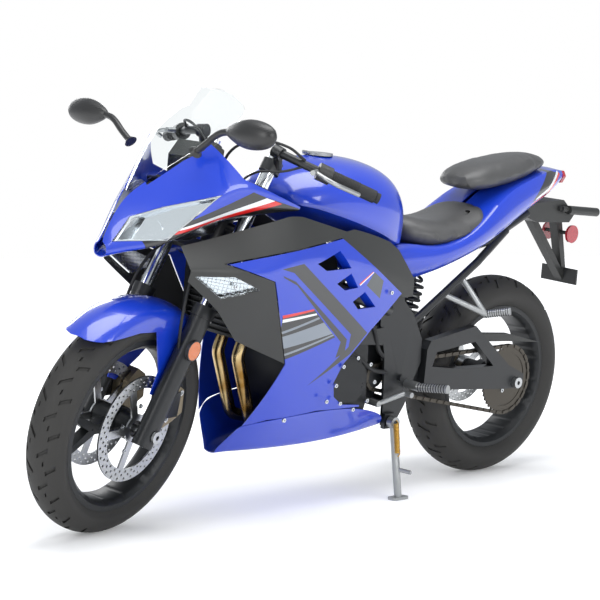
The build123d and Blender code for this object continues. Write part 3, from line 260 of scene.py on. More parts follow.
lamp("overhead", (0.2, 0.5, 3.2), (0, 0, 0.5), (3.0, 1.6), 78)
lamp("left_side", (0.2, 3.6, 1.8), (0, 0, 0.6), (2.8, 1.0), 52)
lamp("front_side", (3.6, 0.4, 1.7), (0.3, 0, 0.7), (1.4, 1.6), 34)
lamp("right_side", (-0.6, -3.2, 2.0), (0, 0, 0.6), (2.4, 1.2), 42)
floor_mesh = bmesh.new()
bmesh.ops.create_grid(floor_mesh, x_segments=1, y_segments=1, size=30)
floor_data = bpy.data.meshes.new("floor")
floor_mesh.to_mesh(floor_data)
floor = bpy.data.objects.new("floor", floor_data)
floor_paint, floor_shader = shader_of("white_painted_floor", "#f3f3f3", 0.85)
floor_shader.inputs["Emission Color"].default_value = linear("#ffffff")
tree = floor_paint.node_tree
place = add_node(tree, "ShaderNodeTexCoord")
away = add_node(tree, "ShaderNodeVectorMath", [(0, place, "Object")], operation="LENGTH")
glow = add_node(tree, "ShaderNodeMapRange", [("Value", away, "Value")], From_Min=1.1, From_Max=3.2,
                To_Min=0.16, To_Max=0.85)
tree.links.new(glow.outputs[0], floor_shader.inputs["Emission Strength"])
floor.data.materials.append(floor_paint)
scene.collection.objects.link(floor)

# %% [markdown]
# A fairing panel is moulded in one tool and trimmed to an outline. It is modelled the same
# way: a smooth form bridged through measured sections, then cut along an outline that is
# drawn in one view. Neighbours cut from one form meet as they do on the machine.


# %% Forms from sections
def rounded(bm, levels):
    """The mesh smoothed by subdivision, its creased edges kept."""
    mesh = bpy.data.meshes.new("rounding")
    bm.to_mesh(mesh)
    bm.free()
    holder = bpy.data.objects.new("rounding", mesh)
    scene.collection.objects.link(holder)
    smooth = holder.modifiers.new("smooth", "SUBSURF")
    smooth.levels = smooth.render_levels = levels
    fine = bmesh.new()
    fine.from_object(holder, bpy.context.evaluated_depsgraph_get())
    bpy.data.objects.remove(holder)
    bpy.data.meshes.remove(mesh)
    return fine


def skin(rows, closed=False, ridges=(), levels=3, capped=False):
    """A smooth surface through rows of points, bridged row by row and then rounded. The point
    numbers in ridges stay as creases."""
    bm = bmesh.new()
    crease = bm.edges.layers.float.new("crease_edge")
    strips = []
    for row in rows:
        verts = [bm.verts.new(point) for point in row]
        pairs = zip(verts, verts[1:] + (verts[:1] if closed else []))
        strips.append((verts, [bm.edges.new(pair) for pair in pairs]))
    for (_, before), (_, after) in zip(strips, strips[1:]):
        bmesh.ops.bridge_loops(bm, edges=before + after)
    for (verts, _), (others, _) in zip(strips, strips[1:]):
        for number in ridges:
            edge = bm.edges.get((verts[number], others[number]))
            if edge:
                edge[crease] = 0.8
    if capped:
        bmesh.ops.holes_fill(bm, edges=bm.edges, sides=0)
    return rounded(bm, levels)


def stations(rows, both=False):
    """Section rows (x, (y, z), ...) as points. With both, each half is mirrored onto the right."""
    result = []
    for x, *half in rows:
        right = [(x, -y, z) for y, z in reversed(half)] if both else []
        result.append([(x, y, z) for y, z in half] + right)
    return result


def run_on(rows, length):
    """Rows with one more at each end, in line with the last two, so that a cut has room."""
    first, second, *_ = rows
    *_, before, last = rows
    ends = []
    for near, far in ((first, second), (last, before)):
        share = length / abs(far[0][0] - near[0][0])
        ends.append([[n + (n - f) * share for n, f in zip(p, q)] for p, q in zip(near, far)])
    return [ends[0]] + rows + [ends[1]]


def spread(rows, length):
    """Each row with its end points moved out along the row, so that a cut has room."""
    result = []
    for row in rows:
        points = [Vector(point) for point in row]
        points[0] += (points[0] - points[1]).normalized() * length
        points[-1] += (points[-1] - points[-2]).normalized() * length
        result.append(points)
    return result


# %% [markdown]
# The outline cut: every edge of the outline slices the faces near it, and each face then lies
# wholly inside or outside. Stripes are the same cut, and the faces inside get the film's
# material, so a stripe follows the surface exactly and can't flicker above it.


# %% Cuts along outlines
def within(outline, u, v):
    """Whether a point lies inside an outline, by counting the edges it crosses."""
    inside = False
    for (u1, v1), (u2, v2) in zip(outline, outline[1:] + outline[:1]):
        if (v1 > v) != (v2 > v) and u < u1 + (u2 - u1) * (v - v1) / (v2 - v1):
            inside = not inside
    return inside


def inside(bm, outline, axis=1, where=lambda c: True):
    """The faces whose middle lies inside an outline seen along an axis."""
    across = [n for n in range(3) if n != axis]
    chosen = []
    for face in bm.faces:
        centre = face.calc_center_median()
        if where(centre) and within(outline, centre[across[0]], centre[across[1]]):
            chosen.append(face)
    return chosen


def cut(bm, outline, axis=1, where=lambda c: True):
    """Slices the faces along an outline seen along an axis and returns the faces inside it."""
    across = [n for n in range(3) if n != axis]
    for a, b in zip(outline, outline[1:] + outline[:1]):
        lows = [min(a[n], b[n]) - 1 for n in (0, 1)]
        highs = [max(a[n], b[n]) + 1 for n in (0, 1)]
        near = []
        for face in bm.faces:
            spans = [[vert.co[n] for vert in face.verts] for n in across]
            if all(min(span) < high and max(span) > low for span, low, high in zip(spans, lows, highs)):
                near.append(face)
        normal = Vector((0, 0, 0))
        normal[across[0]] = b[1] - a[1]
        normal[across[1]] = a[0] - b[0]
        point = Vector((0, 0, 0))
        point[across[0]], point[across[1]] = a
        parts = set(near) | {e for f in near for e in f.edges} | {v for f in near for v in f.verts}
        bmesh.ops.bisect_plane(bm, geom=list(parts), plane_co=point, plane_no=normal.normalized(),
                               dist=0.01)
    return inside(bm, outline, axis, where)


def drop(bm, faces):
    bmesh.ops.delete(bm, geom=faces, context="FACES")


def keep(bm, faces):
    kept = set(faces)
    drop(bm, [face for face in bm.faces if face not in kept])


def paint(faces, number):
    for face in faces:
        face.material_index = number


def merge(bm, other):
    """Adds another bmesh's faces to this one."""
    mesh = bpy.data.meshes.new("merging")
    other.to_mesh(mesh)
    bm.from_mesh(mesh)
    bpy.data.meshes.remove(mesh)


def opposite(bm):
    """The mirror image of a left-hand mesh for the right-hand side, its faces turned again."""
    copy = bm.copy()
    bmesh.ops.scale(copy, vec=(1, -1, 1), verts=copy.verts)
    bmesh.ops.reverse_faces(copy, faces=copy.faces)
    return copy


def pair(bm):
    """Both sides of a left-hand mesh in one."""
    merge(bm, opposite(bm))
    return bm


def outward(bm, core):
    """Turns the faces of an open surface away from a point inside it."""
    bmesh.ops.recalc_face_normals(bm, faces=bm.faces)
    away = sum((f.calc_center_median() - Vector(core)).dot(f.normal) * f.calc_area() for f in bm.faces)
    if away < 0:
        bmesh.ops.reverse_faces(bm, faces=bm.faces)
    return bm


# %% [markdown]
# One function hands every finished piece over: its mesh moves from upright millimetres onto
# the leaning machine, and it gets its body, its materials (the slot's own when none are listed),
# its wall and the small radius that every moulded or machined edge has.


# %% Handing a piece over
PANEL_WALL = 2.6
PANEL_EDGE = 0.6
tally = {}


def piece(name, bm, slot, nodes=(), body="root", materials=None, wall=0, edge=0, place=None):
    """A finished piece from a bmesh, in its listed materials or else in the slot's own."""
    bmesh.ops.remove_doubles(bm, verts=bm.verts, dist=0.02)
    mesh = bpy.data.meshes.new(name)
    for face in bm.faces:
        face.smooth = True
    bm.to_mesh(mesh)
    bm.free()
    mesh.set_sharp_from_angle(angle=math.radians(40))
    mesh.transform(place or PLACES[body])
    for key in materials or [slot]:
        mesh.materials.append(paints[key][0])
    made = bpy.data.objects.new(name, mesh)
    scene.collection.objects.link(made)
    if wall:
        shell = made.modifiers.new("wall", "SOLIDIFY")
        shell.thickness = wall * MM
        shell.offset = -1
    if edge:
        soft_edge = made.modifiers.new("edge", "BEVEL")
        soft_edge.width = edge * MM
        soft_edge.segments = 2
        soft_edge.limit_method = "ANGLE"
        soft_edge.angle_limit = math.radians(40)
        soft_edge.harden_normals = True
    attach(made, body)
    if nodes:
        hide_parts(*nodes)
    tally[name] = len(mesh.polygons)
    return made


def dressed(node, edge):
    """A CAD piece again with its flat faces joined and a small radius along its edges."""
    source = frame["nodes"][node]
    bm = bmesh.new()
    bm.from_mesh(source.data)
    bmesh.ops.remove_doubles(bm, verts=bm.verts, dist=0.01 * MM)
    bmesh.ops.dissolve_limit(bm, angle_limit=math.radians(1), verts=bm.verts, edges=bm.edges)
    bm.transform(Matrix.Scale(1 / MM, 4))
    return piece(node + "_dressed", bm, node_slots[node], [node], body_of[node], edge=edge,
                 place=Matrix.Scale(MM, 4))


body_of = {node: body for body,
           members in frame["record"]["behaviour"]["bodies"].items() for node in members}
node_slots = {part["node"]: part["material_slot"] for part in frame["record"]["subparts"]}
for node, shown in frame["nodes"].items():
    shown.data.materials.clear()
    shown.data.materials.append(paints[node_slots[node]][0])
print("slots:", sorted(set(node_slots.values())))

# %% [markdown]
# The flanks of the fairing hang beside the engine in one swept form, widest at knee height.
# Three panels are cut from it: the black arrow-shaped upper panel with its turn lamp, the
# blue side panel with three vents, and the plain cover over the frame behind them.

# %% The flank form
side_rows = [(540, (160, 720), (168, 640), (166, 540), (150, 330), (140, 262)),
             (700, (174, 775), (192, 690), (190, 550), (160, 345), (152, 300)),
             (850, (184, 800), (208, 730), (204, 560), (168, 360), (160, 303)),
             (1000, (196, 830), (222, 725), (212, 570), (166, 400), (140, 285)),
             (1058, (190, 822), (226, 712), (214, 590), (158, 430), (86, 262)),
             (1100, (186, 815), (228, 700), (214, 600), (158, 470), (88, 280)),
             (1160, (176, 800), (230, 692), (214, 610), (160, 505), (90, 300)),
             (1260, (157, 778), (220, 702), (208, 640), (160, 560), (90, 320)),
             (1340, (140, 752), (190, 700), (178, 660), (140, 610), (80, 340))]
flank = skin(run_on(spread(stations(side_rows), 8), 14), ridges=(1,))
outward(flank, (900, 0, 550))
arrow_outline = [(1336, 753), (1017, 838), (815, 790), (845, 778), (1250, 718), (1098, 672), (1066, 598),
                 (998, 446), (1163, 514), (1243, 598), (1338, 672)]
lamp_outline = [(1326, 686), (1225, 687), (1140, 652), (1247, 630)]
blue_outline = [(1234, 716.8), (845, 775), (585, 618), (700, 522), (788, 430), (808, 380), (796, 338),
                (760, 312), (686, 304), (686, 299), (850, 303), (1000, 285), (1054, 265), (994, 444),
                (1062, 598), (1094, 672)]
vent_outlines = [[(950, 714), (862, 745), (816, 698), (912, 694)],
                 [(866, 658), (814, 684), (779, 644), (832, 639)],
                 [(794, 606), (749, 631), (696, 587), (768, 584)]]
print("flank faces:", len(flank.faces))

# %% [markdown]
# The graphics are printed film laid in the mould: black chevrons that echo the arrow panel,
# a striped block between them with red, white and grey lines, and a small dark patch by the
# vents. Each is an outline in the side view with the film's place in the material list.

# %% The side panel's film
BLACK, WHITE, RED, GREY, DARK = range(1, 6)
side_materials = ["blue_plastic", "black_film", "white_film", "red_film", "grey_film", "dark_film"]
films = [(BLACK, [(1077, 704), (1001, 716), (713, 515), (767, 459), (905, 377), (847, 422), (780, 480),
              (780, 515), (1033, 693)]),
         (BLACK, [(1071, 687), (1022, 670), (792, 502), (791, 463), (823, 451), (815, 496), (1016, 660),
              (1066, 681)]),
         (BLACK, [(1046, 581), (940, 594), (840, 511), (1025, 450)]),
         (RED, [(1046, 581), (940, 594), (937, 589), (1042, 573)]),
         (WHITE, [(1042, 570), (927, 582), (925, 577), (1041, 561)]),
         (GREY, [(1036, 536), (916, 571), (911, 566), (1035, 529)]),
         (GREY, [(1034, 521), (894, 555), (853, 522), (1027, 486)]),
         (GREY, [(1025, 469), (850, 520), (846, 516), (1025, 462)]),
         (DARK, [(717, 684), (674, 658), (682, 609), (746, 649)]),
         (RED, [(777, 654), (725, 685), (722, 684), (774, 651)]),
         (WHITE, [(774, 651), (722, 684), (719, 683), (771, 649)])]
panel = flank.copy()
keep(panel, cut(panel, blue_outline))
for number, outline in films:
    paint(cut(panel, outline), number)
print("side panel faces:", len(panel.faces))

# %% [markdown]
# The vents let hot air out behind the radiator. Each opening's edge turns inward as a deep
# lip, so the opening shows a wall and not the raw edge of a sheet. The blades that cross the
# real vents are in the frame's own panels, and are not drawn here.

# %% Vents with lips
LIP_DEPTH = 24
for outline in vent_outlines:
    opening = cut(panel, outline)
    rim = {edge for face in opening for edge in face.edges}
    drop(panel, opening)
    rim = [edge for edge in rim if edge.is_valid and edge.is_boundary]
    lip = bmesh.ops.extrude_edge_only(panel, edges=rim)["geom"]
    moved = [part for part in lip if isinstance(part, bmesh.types.BMVert)]
    bmesh.ops.translate(panel, vec=(10, -LIP_DEPTH, -4), verts=moved)
    paint([part for part in lip if isinstance(part, bmesh.types.BMFace)], 0)
right_panel = opposite(panel)
piece("side_panel_shell_left", panel, "blue_plastic", ["side_panel_left"], materials=side_materials,
      wall=PANEL_WALL, edge=PANEL_EDGE)
piece("side_panel_shell_right", right_panel, "blue_plastic", ["side_panel_right"],
      materials=side_materials,
      wall=PANEL_WALL, edge=PANEL_EDGE)

# %% [markdown]
# The arrow panel is bare grained plastic. Its turn lamp is flush: a clear lens over a bright
# faceted backing.

# %% Arrow panels, turn lamps and frame covers
arrow = flank.copy()
keep(arrow, cut(arrow, arrow_outline))
drop(arrow, cut(arrow, lamp_outline))
piece("arrow_panel_shells", pair(arrow), "dark_plastic", ["arrow_panels"], wall=PANEL_WALL,
      edge=PANEL_EDGE)
lens = flank.copy()
keep(lens, cut(lens, lamp_outline))
backing = lens.copy()
piece("turn_lamp_lenses", pair(lens), "lens_clear", ["front_turn_lamps"], wall=2.0, edge=0.4)
bmesh.ops.translate(backing, vec=(-4, -11, 0), verts=backing.verts)
bmesh.ops.inset_individual(backing, faces=backing.faces, thickness=1.2, depth=-1.6)
piece("turn_lamp_backings", pair(backing), "mirror_black", materials=["lamp_silver"], wall=1.0)
cover = flank.copy()
cover_outline = [(850, 788), (720, 808), (600, 738), (512, 640), (505, 606), (560, 604), (592, 612),
                 (838, 760)]
keep(cover, cut(cover, cover_outline))
bmesh.ops.translate(cover, vec=(0, -3.9, 0), verts=cover.verts)
piece("frame_cover_shells", pair(cover), "dark_plastic", ["frame_covers"], wall=PANEL_WALL,
      edge=PANEL_EDGE)
print("flank pieces:", tally)

# %% [markdown]
# The nose cowl is one moulding over both sides, open behind the screen, with a cat-eye
# opening on each side for the lamp. The lenses are cut from the same form, so they are flush.

# %% The nose cowl
cowl_rows = [(1017, (172, 900), (203, 868), (204, 858), (200, 838)),
             (1100, (172, 950), (207, 890), (208, 880), (186, 817)),
             (1199, (165, 1005), (204, 915), (205, 904), (168, 791)),
             (1250, (135, 1020), (188, 888), (190, 880), (158, 778)),
             (1300, (96, 972), (159, 876), (167, 837), (148, 764)),
             (1376, (36, 900), (96, 848), (130, 759), (134, 742)),
             (1430, (6, 852), (40, 817), (68, 749), (72, 722)),
             (1475, (3, 748), (12, 744), (27, 738), (30, 706))]
cowl = skin(stations(cowl_rows, both=True), ridges=(0, 7))
outward(cowl, (1150, 0, 800))
left_lamp = [(30, 749), (43, 812), (98, 843), (160, 871), (183, 883), (163, 838), (127, 764), (69, 755)]
right_lamp = [(-y, z) for y, z in left_lamp]
lenses = cowl.copy()
kept = cut(lenses, left_lamp, 0, lambda c: c.x > 1215) + cut(lenses, right_lamp, 0, lambda c: c.x > 1215)
keep(lenses, kept)
piece("headlamp_lens_shells", lenses, "lens_clear", ["headlamp_lenses"], wall=2.2, edge=0.4)
drop(cowl, cut(cowl, left_lamp, 0, lambda c: c.x > 1215))
drop(cowl, cut(cowl, right_lamp, 0, lambda c: c.x > 1215))
drop(cowl, cut(cowl, [(900, 1200), (900, 845), (1017, 859), (1199, 924), (1268, 1012), (1300, 1200)]))
half_opening = [(122, 1100), (122, 985), (90, 955), (36, 880)]
top_opening = half_opening + [(-y, z) for y, z in reversed(half_opening)]
drop(cowl, cut(cowl, top_opening, 0, lambda c: c.x < 1378))
for number, outline in ((BLACK, [(1417, 766), (1173, 894), (1130, 881), (1000, 850), (1000, 820),
                             (1400, 730)]),
                        (WHITE, [(1417, 766), (1130, 880), (1103, 873), (1321, 798)]),
                        (RED, [(1395, 772), (1103, 873), (1078, 866), (1358, 778)])):
    paint(cut(cowl, outline, where=lambda c: abs(c.y) > 60), number)
piece("nose_cowl_shell", cowl, "blue_plastic", ["nose_cowl"], materials=side_materials, wall=PANEL_WALL,
      edge=PANEL_EDGE)

# %% [markdown]
# The screen is blown from one clear sheet: upright and narrow at its foot, wide in the
# middle, rounded at the top. Its curve is a parabola across, so it wraps round the dials.

# %% The windscreen
SCREEN_ROWS = [(872, 1412, 1406, 10), (972, 1352, 1300, 92), (1037, 1300, 1226, 140),
               (1091, 1250, 1136, 136), (1135, 1200, 1180, 62)]
rows = []
for z, centre, edge_x, half in SCREEN_ROWS:
    shares = [n / 5 for n in range(-5, 6)]
    rows.append([(centre - (centre - edge_x) * t * t, half * t, z) for t in shares])
screen = outward(skin(rows, levels=2), (1150, 0, 1000))
piece("windscreen_sheet", screen, "screen_clear", ["windscreen"], wall=2.6, edge=0.8)

# %% [markdown]
# The belly pan is a trough under the engine, its sides carrying on the line of the flanks.

# %% The belly pan
belly_rows = [(566, (142, 264), (118, 229), (8, 219)), (700, (152, 299), (118, 208), (8, 194)),
              (850, (160, 302), (110, 196), (8, 186)),
              (1000, (140, 284), (76, 188), (8, 178)), (1056, (87, 262), (40, 182), (8, 174)),
              (1060, (84, 254), (38, 181), (8, 174)),
              (1082, (24, 188), (22, 176), (8, 172))]
belly = outward(skin(stations(belly_rows, both=True), ridges=(1, 4)), (800, 0, 320))
piece("belly_pan_shell", belly, "blue_plastic", ["belly_pan"], wall=PANEL_WALL, edge=PANEL_EDGE)

# %% [markdown]
# The tank is pressed from two steel halves and seam-welded. It swells forward of the rider's
# knees and its flanks tuck in where the knees grip it.

# %% The fuel tank
tank_rows = [(515, (8, 884), (55, 872), (92, 820), (90, 750), (8, 744)),
             (560, (8, 944), (85, 928), (138, 858), (124, 742), (8, 716)),
             (650, (8, 973), (95, 958), (160, 888), (152, 778), (8, 720)),
             (760, (8, 982), (95, 970), (166, 905), (160, 812), (8, 740)),
             (860, (8, 978), (90, 964), (158, 900), (158, 838), (8, 765)),
             (940, (8, 950), (80, 940), (138, 898), (150, 856), (8, 800)),
             (985, (8, 900), (55, 894), (95, 878), (112, 852), (8, 840))]
tank = skin(stations(tank_rows, both=True), closed=True, ridges=(3, 6), capped=True)
bmesh.ops.recalc_face_normals(tank, faces=tank.faces)
piece("fuel_tank_shell", tank, "blue_paint", ["fuel_tank"])

# %% [markdown]
# The tail cowl narrows behind the rider into a pointed rump with the tail lamp in its end. A
# wedge of black film with white and red edges runs along each side of the point.

# %% The tail cowl
tail_rows = [(-225, (8, 968), (42, 965), (52, 948), (40, 926)),
             (-160, (8, 978), (62, 972), (84, 930), (62, 884)),
             (-60, (8, 955), (88, 950), (108, 900), (84, 842)),
             (60, (8, 922), (104, 915), (126, 856), (104, 778)),
             (150, (8, 880), (118, 868), (142, 810), (118, 730)),
             (260, (8, 780), (136, 778), (154, 762), (130, 690)),
             (400, (8, 734), (132, 732), (150, 720), (136, 644)),
             (500, (8, 742), (104, 752), (138, 735), (134, 614)),
             (585, (8, 734), (92, 736), (124, 728), (128, 628))]
tail = skin(stations(tail_rows, both=True), ridges=(1, 6))
outward(tail, (150, 0, 700))
for number, outline in ((BLACK, [(-20, 868), (-120, 905), (-180, 960), (-120, 968), (-62, 912)]),
                        (WHITE, [(-40, 876), (-120, 900), (-190, 962), (-180, 966), (-112, 912),
                                 (-48, 884)]),
                        (RED, [(-14, 856), (-120, 893), (-200, 956), (-190, 962), (-116, 900),
                             (-26, 866)])):
    paint(cut(tail, outline, where=lambda c: abs(c.y) > 30), number)
piece("tail_cowl_shell", tail, "blue_plastic", ["tail_cowl"], materials=side_materials, wall=PANEL_WALL,
      edge=PANEL_EDGE)
print("body pieces:", tally)

# %% [markdown]
# Small shapes repeat all over the machine: hoses, screws, chain links. A tube follows a few
# points as a round curve, and a stamp repeats one small mesh at many places.


# %% Tubes, rings and stamps
def tube(bm, points, radius):
    """Adds a round tube that passes smoothly through points."""
    curve = bpy.data.curves.new("path", "CURVE")
    curve.dimensions = "3D"
    curve.bevel_depth = radius
    curve.bevel_resolution = 3
    curve.use_fill_caps = True
    curve.resolution_u = 8
    spline = curve.splines.new("BEZIER")
    spline.bezier_points.add(len(points) - 1)
    for knot, point in zip(spline.bezier_points, points):
        knot.co = point
        knot.handle_left_type = knot.handle_right_type = "AUTO"
    holder = bpy.data.objects.new("path", curve)
    mesh = bpy.data.meshes.new_from_object(holder)
    bm.from_mesh(mesh)
    bpy.data.objects.remove(holder)
    bpy.data.meshes.remove(mesh)
    return bm


def facing(at, normal, size=1.0):
    """The matrix that puts a shape's own Z along a normal at a point."""
    turn = Vector(normal).to_track_quat("Z", "Y").to_matrix().to_4x4()
    return Matrix.Translation(at) @ turn @ Matrix.Scale(size, 4)


def stamp(bm, mesh, matrix):
    """Adds a small mesh at a place."""
    first = len(bm.verts)
    bm.from_mesh(mesh)
    bm.verts.ensure_lookup_table()
    bmesh.ops.transform(bm, matrix=matrix, verts=bm.verts[first:])


def as_mesh(bm, name):
    mesh = bpy.data.meshes.new(name)
    bm.to_mesh(mesh)
    bm.free()
    return mesh


def disc(bm, at, normal, radius, depth, sides=24):
    """Adds a round plug whose middle is at a point."""
    bmesh.ops.create_cone(bm, cap_ends=True, segments=sides, radius1=radius, radius2=radius, depth=depth,
                          matrix=facing(at, normal))
    return bm


def turned(profile, at, axis=(0, 1, 0), steps=64):
    """A solid or ring spun from (distance along the axis, radius) points."""
    bm = bmesh.new()
    verts = [bm.verts.new((radius, 0, along)) for along, radius in profile]
    edges = [bm.edges.new(ends) for ends in zip(verts, verts[1:] + verts[:1])]
    bmesh.ops.spin(bm, geom=verts + edges, cent=(0, 0, 0), axis=(0, 0, 1), dvec=(0, 0, 0),
                   angle=math.tau, steps=steps, use_merge=True)
    bmesh.ops.remove_doubles(bm, verts=bm.verts, dist=0.01)
    bmesh.ops.transform(bm, matrix=facing(at, axis), verts=bm.verts)
    bmesh.ops.recalc_face_normals(bm, faces=bm.faces)
    return bm


screw = bmesh.new()
bmesh.ops.create_cone(screw, cap_ends=True, segments=18, radius1=1, radius2=0.92, depth=0.7)
top = max(screw.faces, key=lambda face: face.calc_center_median().z)
bmesh.ops.inset_region(screw, faces=[top], thickness=0.42, depth=0)
bmesh.ops.inset_region(screw, faces=[top], thickness=0.02, depth=-0.4)
screw_mesh = as_mesh(screw, "socket_screw")
print("screw faces:", len(screw_mesh.polygons))


def screws(name, places, paint_key="bolt_steel", slot="chrome", body="root"):
    """Socket screws at (point, direction, radius) places, as one piece."""
    bm = bmesh.new()
    for at, normal, radius in places:
        stamp(bm, screw_mesh, facing(at, normal, radius))
    return piece(name, bm, slot, body=body, materials=[paint_key])


# %% [markdown]
# The seats are foam under stretched vinyl. The foam form is bridged from sections a little
# small, remeshed evenly and blown up as cloth with gravity off, so the cover rounds over its
# edges and stays tight. How far a point may move is capped, so the pad keeps its size.


# %% Seats
def inflated(mesh, cap):
    """The mesh after a short cloth run under pressure, each point moved at most by cap."""
    pad = bpy.data.objects.new("pad", mesh)
    scene.collection.objects.link(pad)
    even = pad.modifiers.new("even", "REMESH")
    even.mode = "VOXEL"
    even.voxel_size = 6 * MM
    graph = bpy.context.evaluated_depsgraph_get()
    pad_mesh = bpy.data.meshes.new_from_object(pad.evaluated_get(graph))
    pad.modifiers.clear()
    pad.data = pad_mesh
    cloth = pad.modifiers.new("cloth", "CLOTH")
    cloth.settings.use_pressure = True
    cloth.settings.uniform_pressure_force = 4
    cloth.settings.effector_weights.gravity = 0
    for number in range(1, 21):
        scene.frame_set(number)
    blown = bpy.data.meshes.new_from_object(pad.evaluated_get(bpy.context.evaluated_depsgraph_get()))
    for vert, moved in zip(pad_mesh.vertices, blown.vertices):
        step = moved.co - vert.co
        vert.co += step.normalized() * min(step.length, cap)
    scene.frame_set(1)
    bpy.data.objects.remove(pad)
    result = bmesh.new()
    result.from_mesh(pad_mesh)
    return result


def cushion(name, rows, node):
    """A padded seat from its section rows."""
    form = skin(stations(rows, both=True), closed=True, levels=2, capped=True)
    bmesh.ops.recalc_face_normals(form, faces=form.faces)
    for vert in form.verts:
        vert.co -= vert.normal * 4
    form.transform(FIXED)
    pad = inflated(as_mesh(form, name + "_form"), 5 * MM)
    bmesh.ops.recalc_face_normals(pad, faces=pad.faces)
    made = piece(name, pad, "seat_cover", [node], place=Matrix.Identity(4))
    finer = made.modifiers.new("finer", "SUBSURF")
    finer.levels = finer.render_levels = 1
    return made


rider_rows = [(145, (8, 860), (70, 856), (104, 838), (104, 812), (8, 806)),
              (170, (8, 866), (80, 862), (130, 838), (132, 800), (8, 794)),
              (240, (8, 832), (90, 830), (150, 800), (150, 772), (8, 766)),
              (330, (8, 806), (90, 804), (150, 780), (150, 745), (8, 739)),
              (420, (8, 812), (80, 810), (128, 784), (136, 728), (8, 722)),
              (470, (8, 824), (62, 820), (98, 794), (106, 742), (8, 736)),
              (503, (8, 826), (40, 822), (62, 800), (66, 766), (8, 760))]
pillion_rows = [(-158, (8, 1002), (30, 1000), (42, 990), (42, 982), (8, 980)),
                (-130, (8, 1014), (52, 1010), (66, 990), (66, 974), (8, 972)),
                (-60, (8, 1016), (66, 1012), (88, 985), (90, 952), (8, 948)),
                (30, (8, 1003), (74, 1000), (102, 968), (104, 922), (8, 918)),
                (130, (8, 984), (74, 980), (104, 950), (106, 904), (8, 900)),
                (215, (8, 962), (62, 958), (90, 930), (92, 894), (8, 890)),
                (248, (8, 940), (42, 936), (58, 920), (60, 902), (8, 900))]
cushion("rider_cushion", rider_rows, "rider_seat")
cushion("pillion_cushion", pillion_rows, "pillion_seat")
print("seats:", tally["rider_cushion"], tally["pillion_cushion"])

# %% [markdown]
# The front mudguard is one blue moulding: a hoop with rolled shoulders close to the tyre and
# a blade on each side that bolts to the fork. It is spun round the axle and cut to shape.

# %% The front mudguard
guard = bmesh.new()
half_profile = [(70.7, 88), (70.7, 180), (70.7, 262), (70.4, 284), (68, 299), (60, 311), (44, 319),
                (20, 324), (6, 326)]
profile = half_profile + [(-y, radius) for y, radius in reversed(half_profile)]
verts = [guard.verts.new((FRONT_AXLE.x + radius, y, FRONT_AXLE.z)) for y, radius in profile]
edges = [guard.edges.new(ends) for ends in zip(verts, verts[1:])]
bmesh.ops.spin(guard, geom=verts + edges, cent=FRONT_AXLE, axis=(0, -1, 0), dvec=(0, 0, 0),
               angle=math.radians(168), steps=84)
hoop = [(205, 250), (61, 262), (-60, 252), (-180, 200), (-320, 260), (-160, 470), (300, 420)]
blade = [(-110, 283), (-216, 259), (-185, 167), (-138, 131), (-55, 79), (-22, 91), (-40, 150), (0, 270)]
hoop, blade = [[(FRONT_AXLE.x + x, FRONT_AXLE.z + z) for x, z in outline] for outline in (hoop, blade)]
cut(guard, blade)
keep(guard, cut(guard, hoop) + inside(guard, blade))
outward(guard, FRONT_AXLE)
piece("front_mudguard_shell", guard, "blue_plastic", ["front_mudguard"], "steering", wall=2.6, edge=0.7)

# %% [markdown]
# Each mirror is a pod blown round its glass, on a stalk from the cowl's bracket.

# %% Mirrors
mirror_rows = [(250, 8, 10), (285, 22, 26), (330, 34, 42), (395, 30, 36), (425, 12, 16)]
rows = []
for y, depth, height in mirror_rows:
    corners = [(math.cos(n * math.tau / 8), math.sin(n * math.tau / 8)) for n in range(8)]
    rows.append([(1312 + depth * c, y, 1042 + height * s) for c, s in corners])
pod = skin(rows, closed=True, capped=True)
bmesh.ops.recalc_face_normals(pod, faces=pod.faces)
glass = pod.copy()
keep(glass, [f for f in glass.faces if f.normal.x < -0.72 and 275 < f.calc_center_median().y < 410])
bmesh.ops.translate(glass, vec=(-0.8, 0, 0), verts=glass.verts)
tube(pod, [(1312, 142, 984), (1313, 175, 1004), (1312, 225, 1034), (1312, 262, 1041)], 8.5)
bmesh.ops.create_cone(pod, cap_ends=True, segments=20, radius1=17, radius2=10, depth=10,
                      matrix=facing((1312, 140, 984), (0.1, 0.75, 0.6)))
piece("mirror_pods", pair(pod), "mirror_black", ["mirrors"])
piece("mirror_glasses", pair(glass), "mirror_black", materials=["mirror_glass"])
print("mudguard and mirrors done")

# %% [markdown]
# Each tyre is spun from its section. Its grooves are sunk in the flat pattern of the spun
# grid, and then the whole crown is sheared round the axle, so they sweep back from the
# middle in a V as a road tyre's rain grooves do.


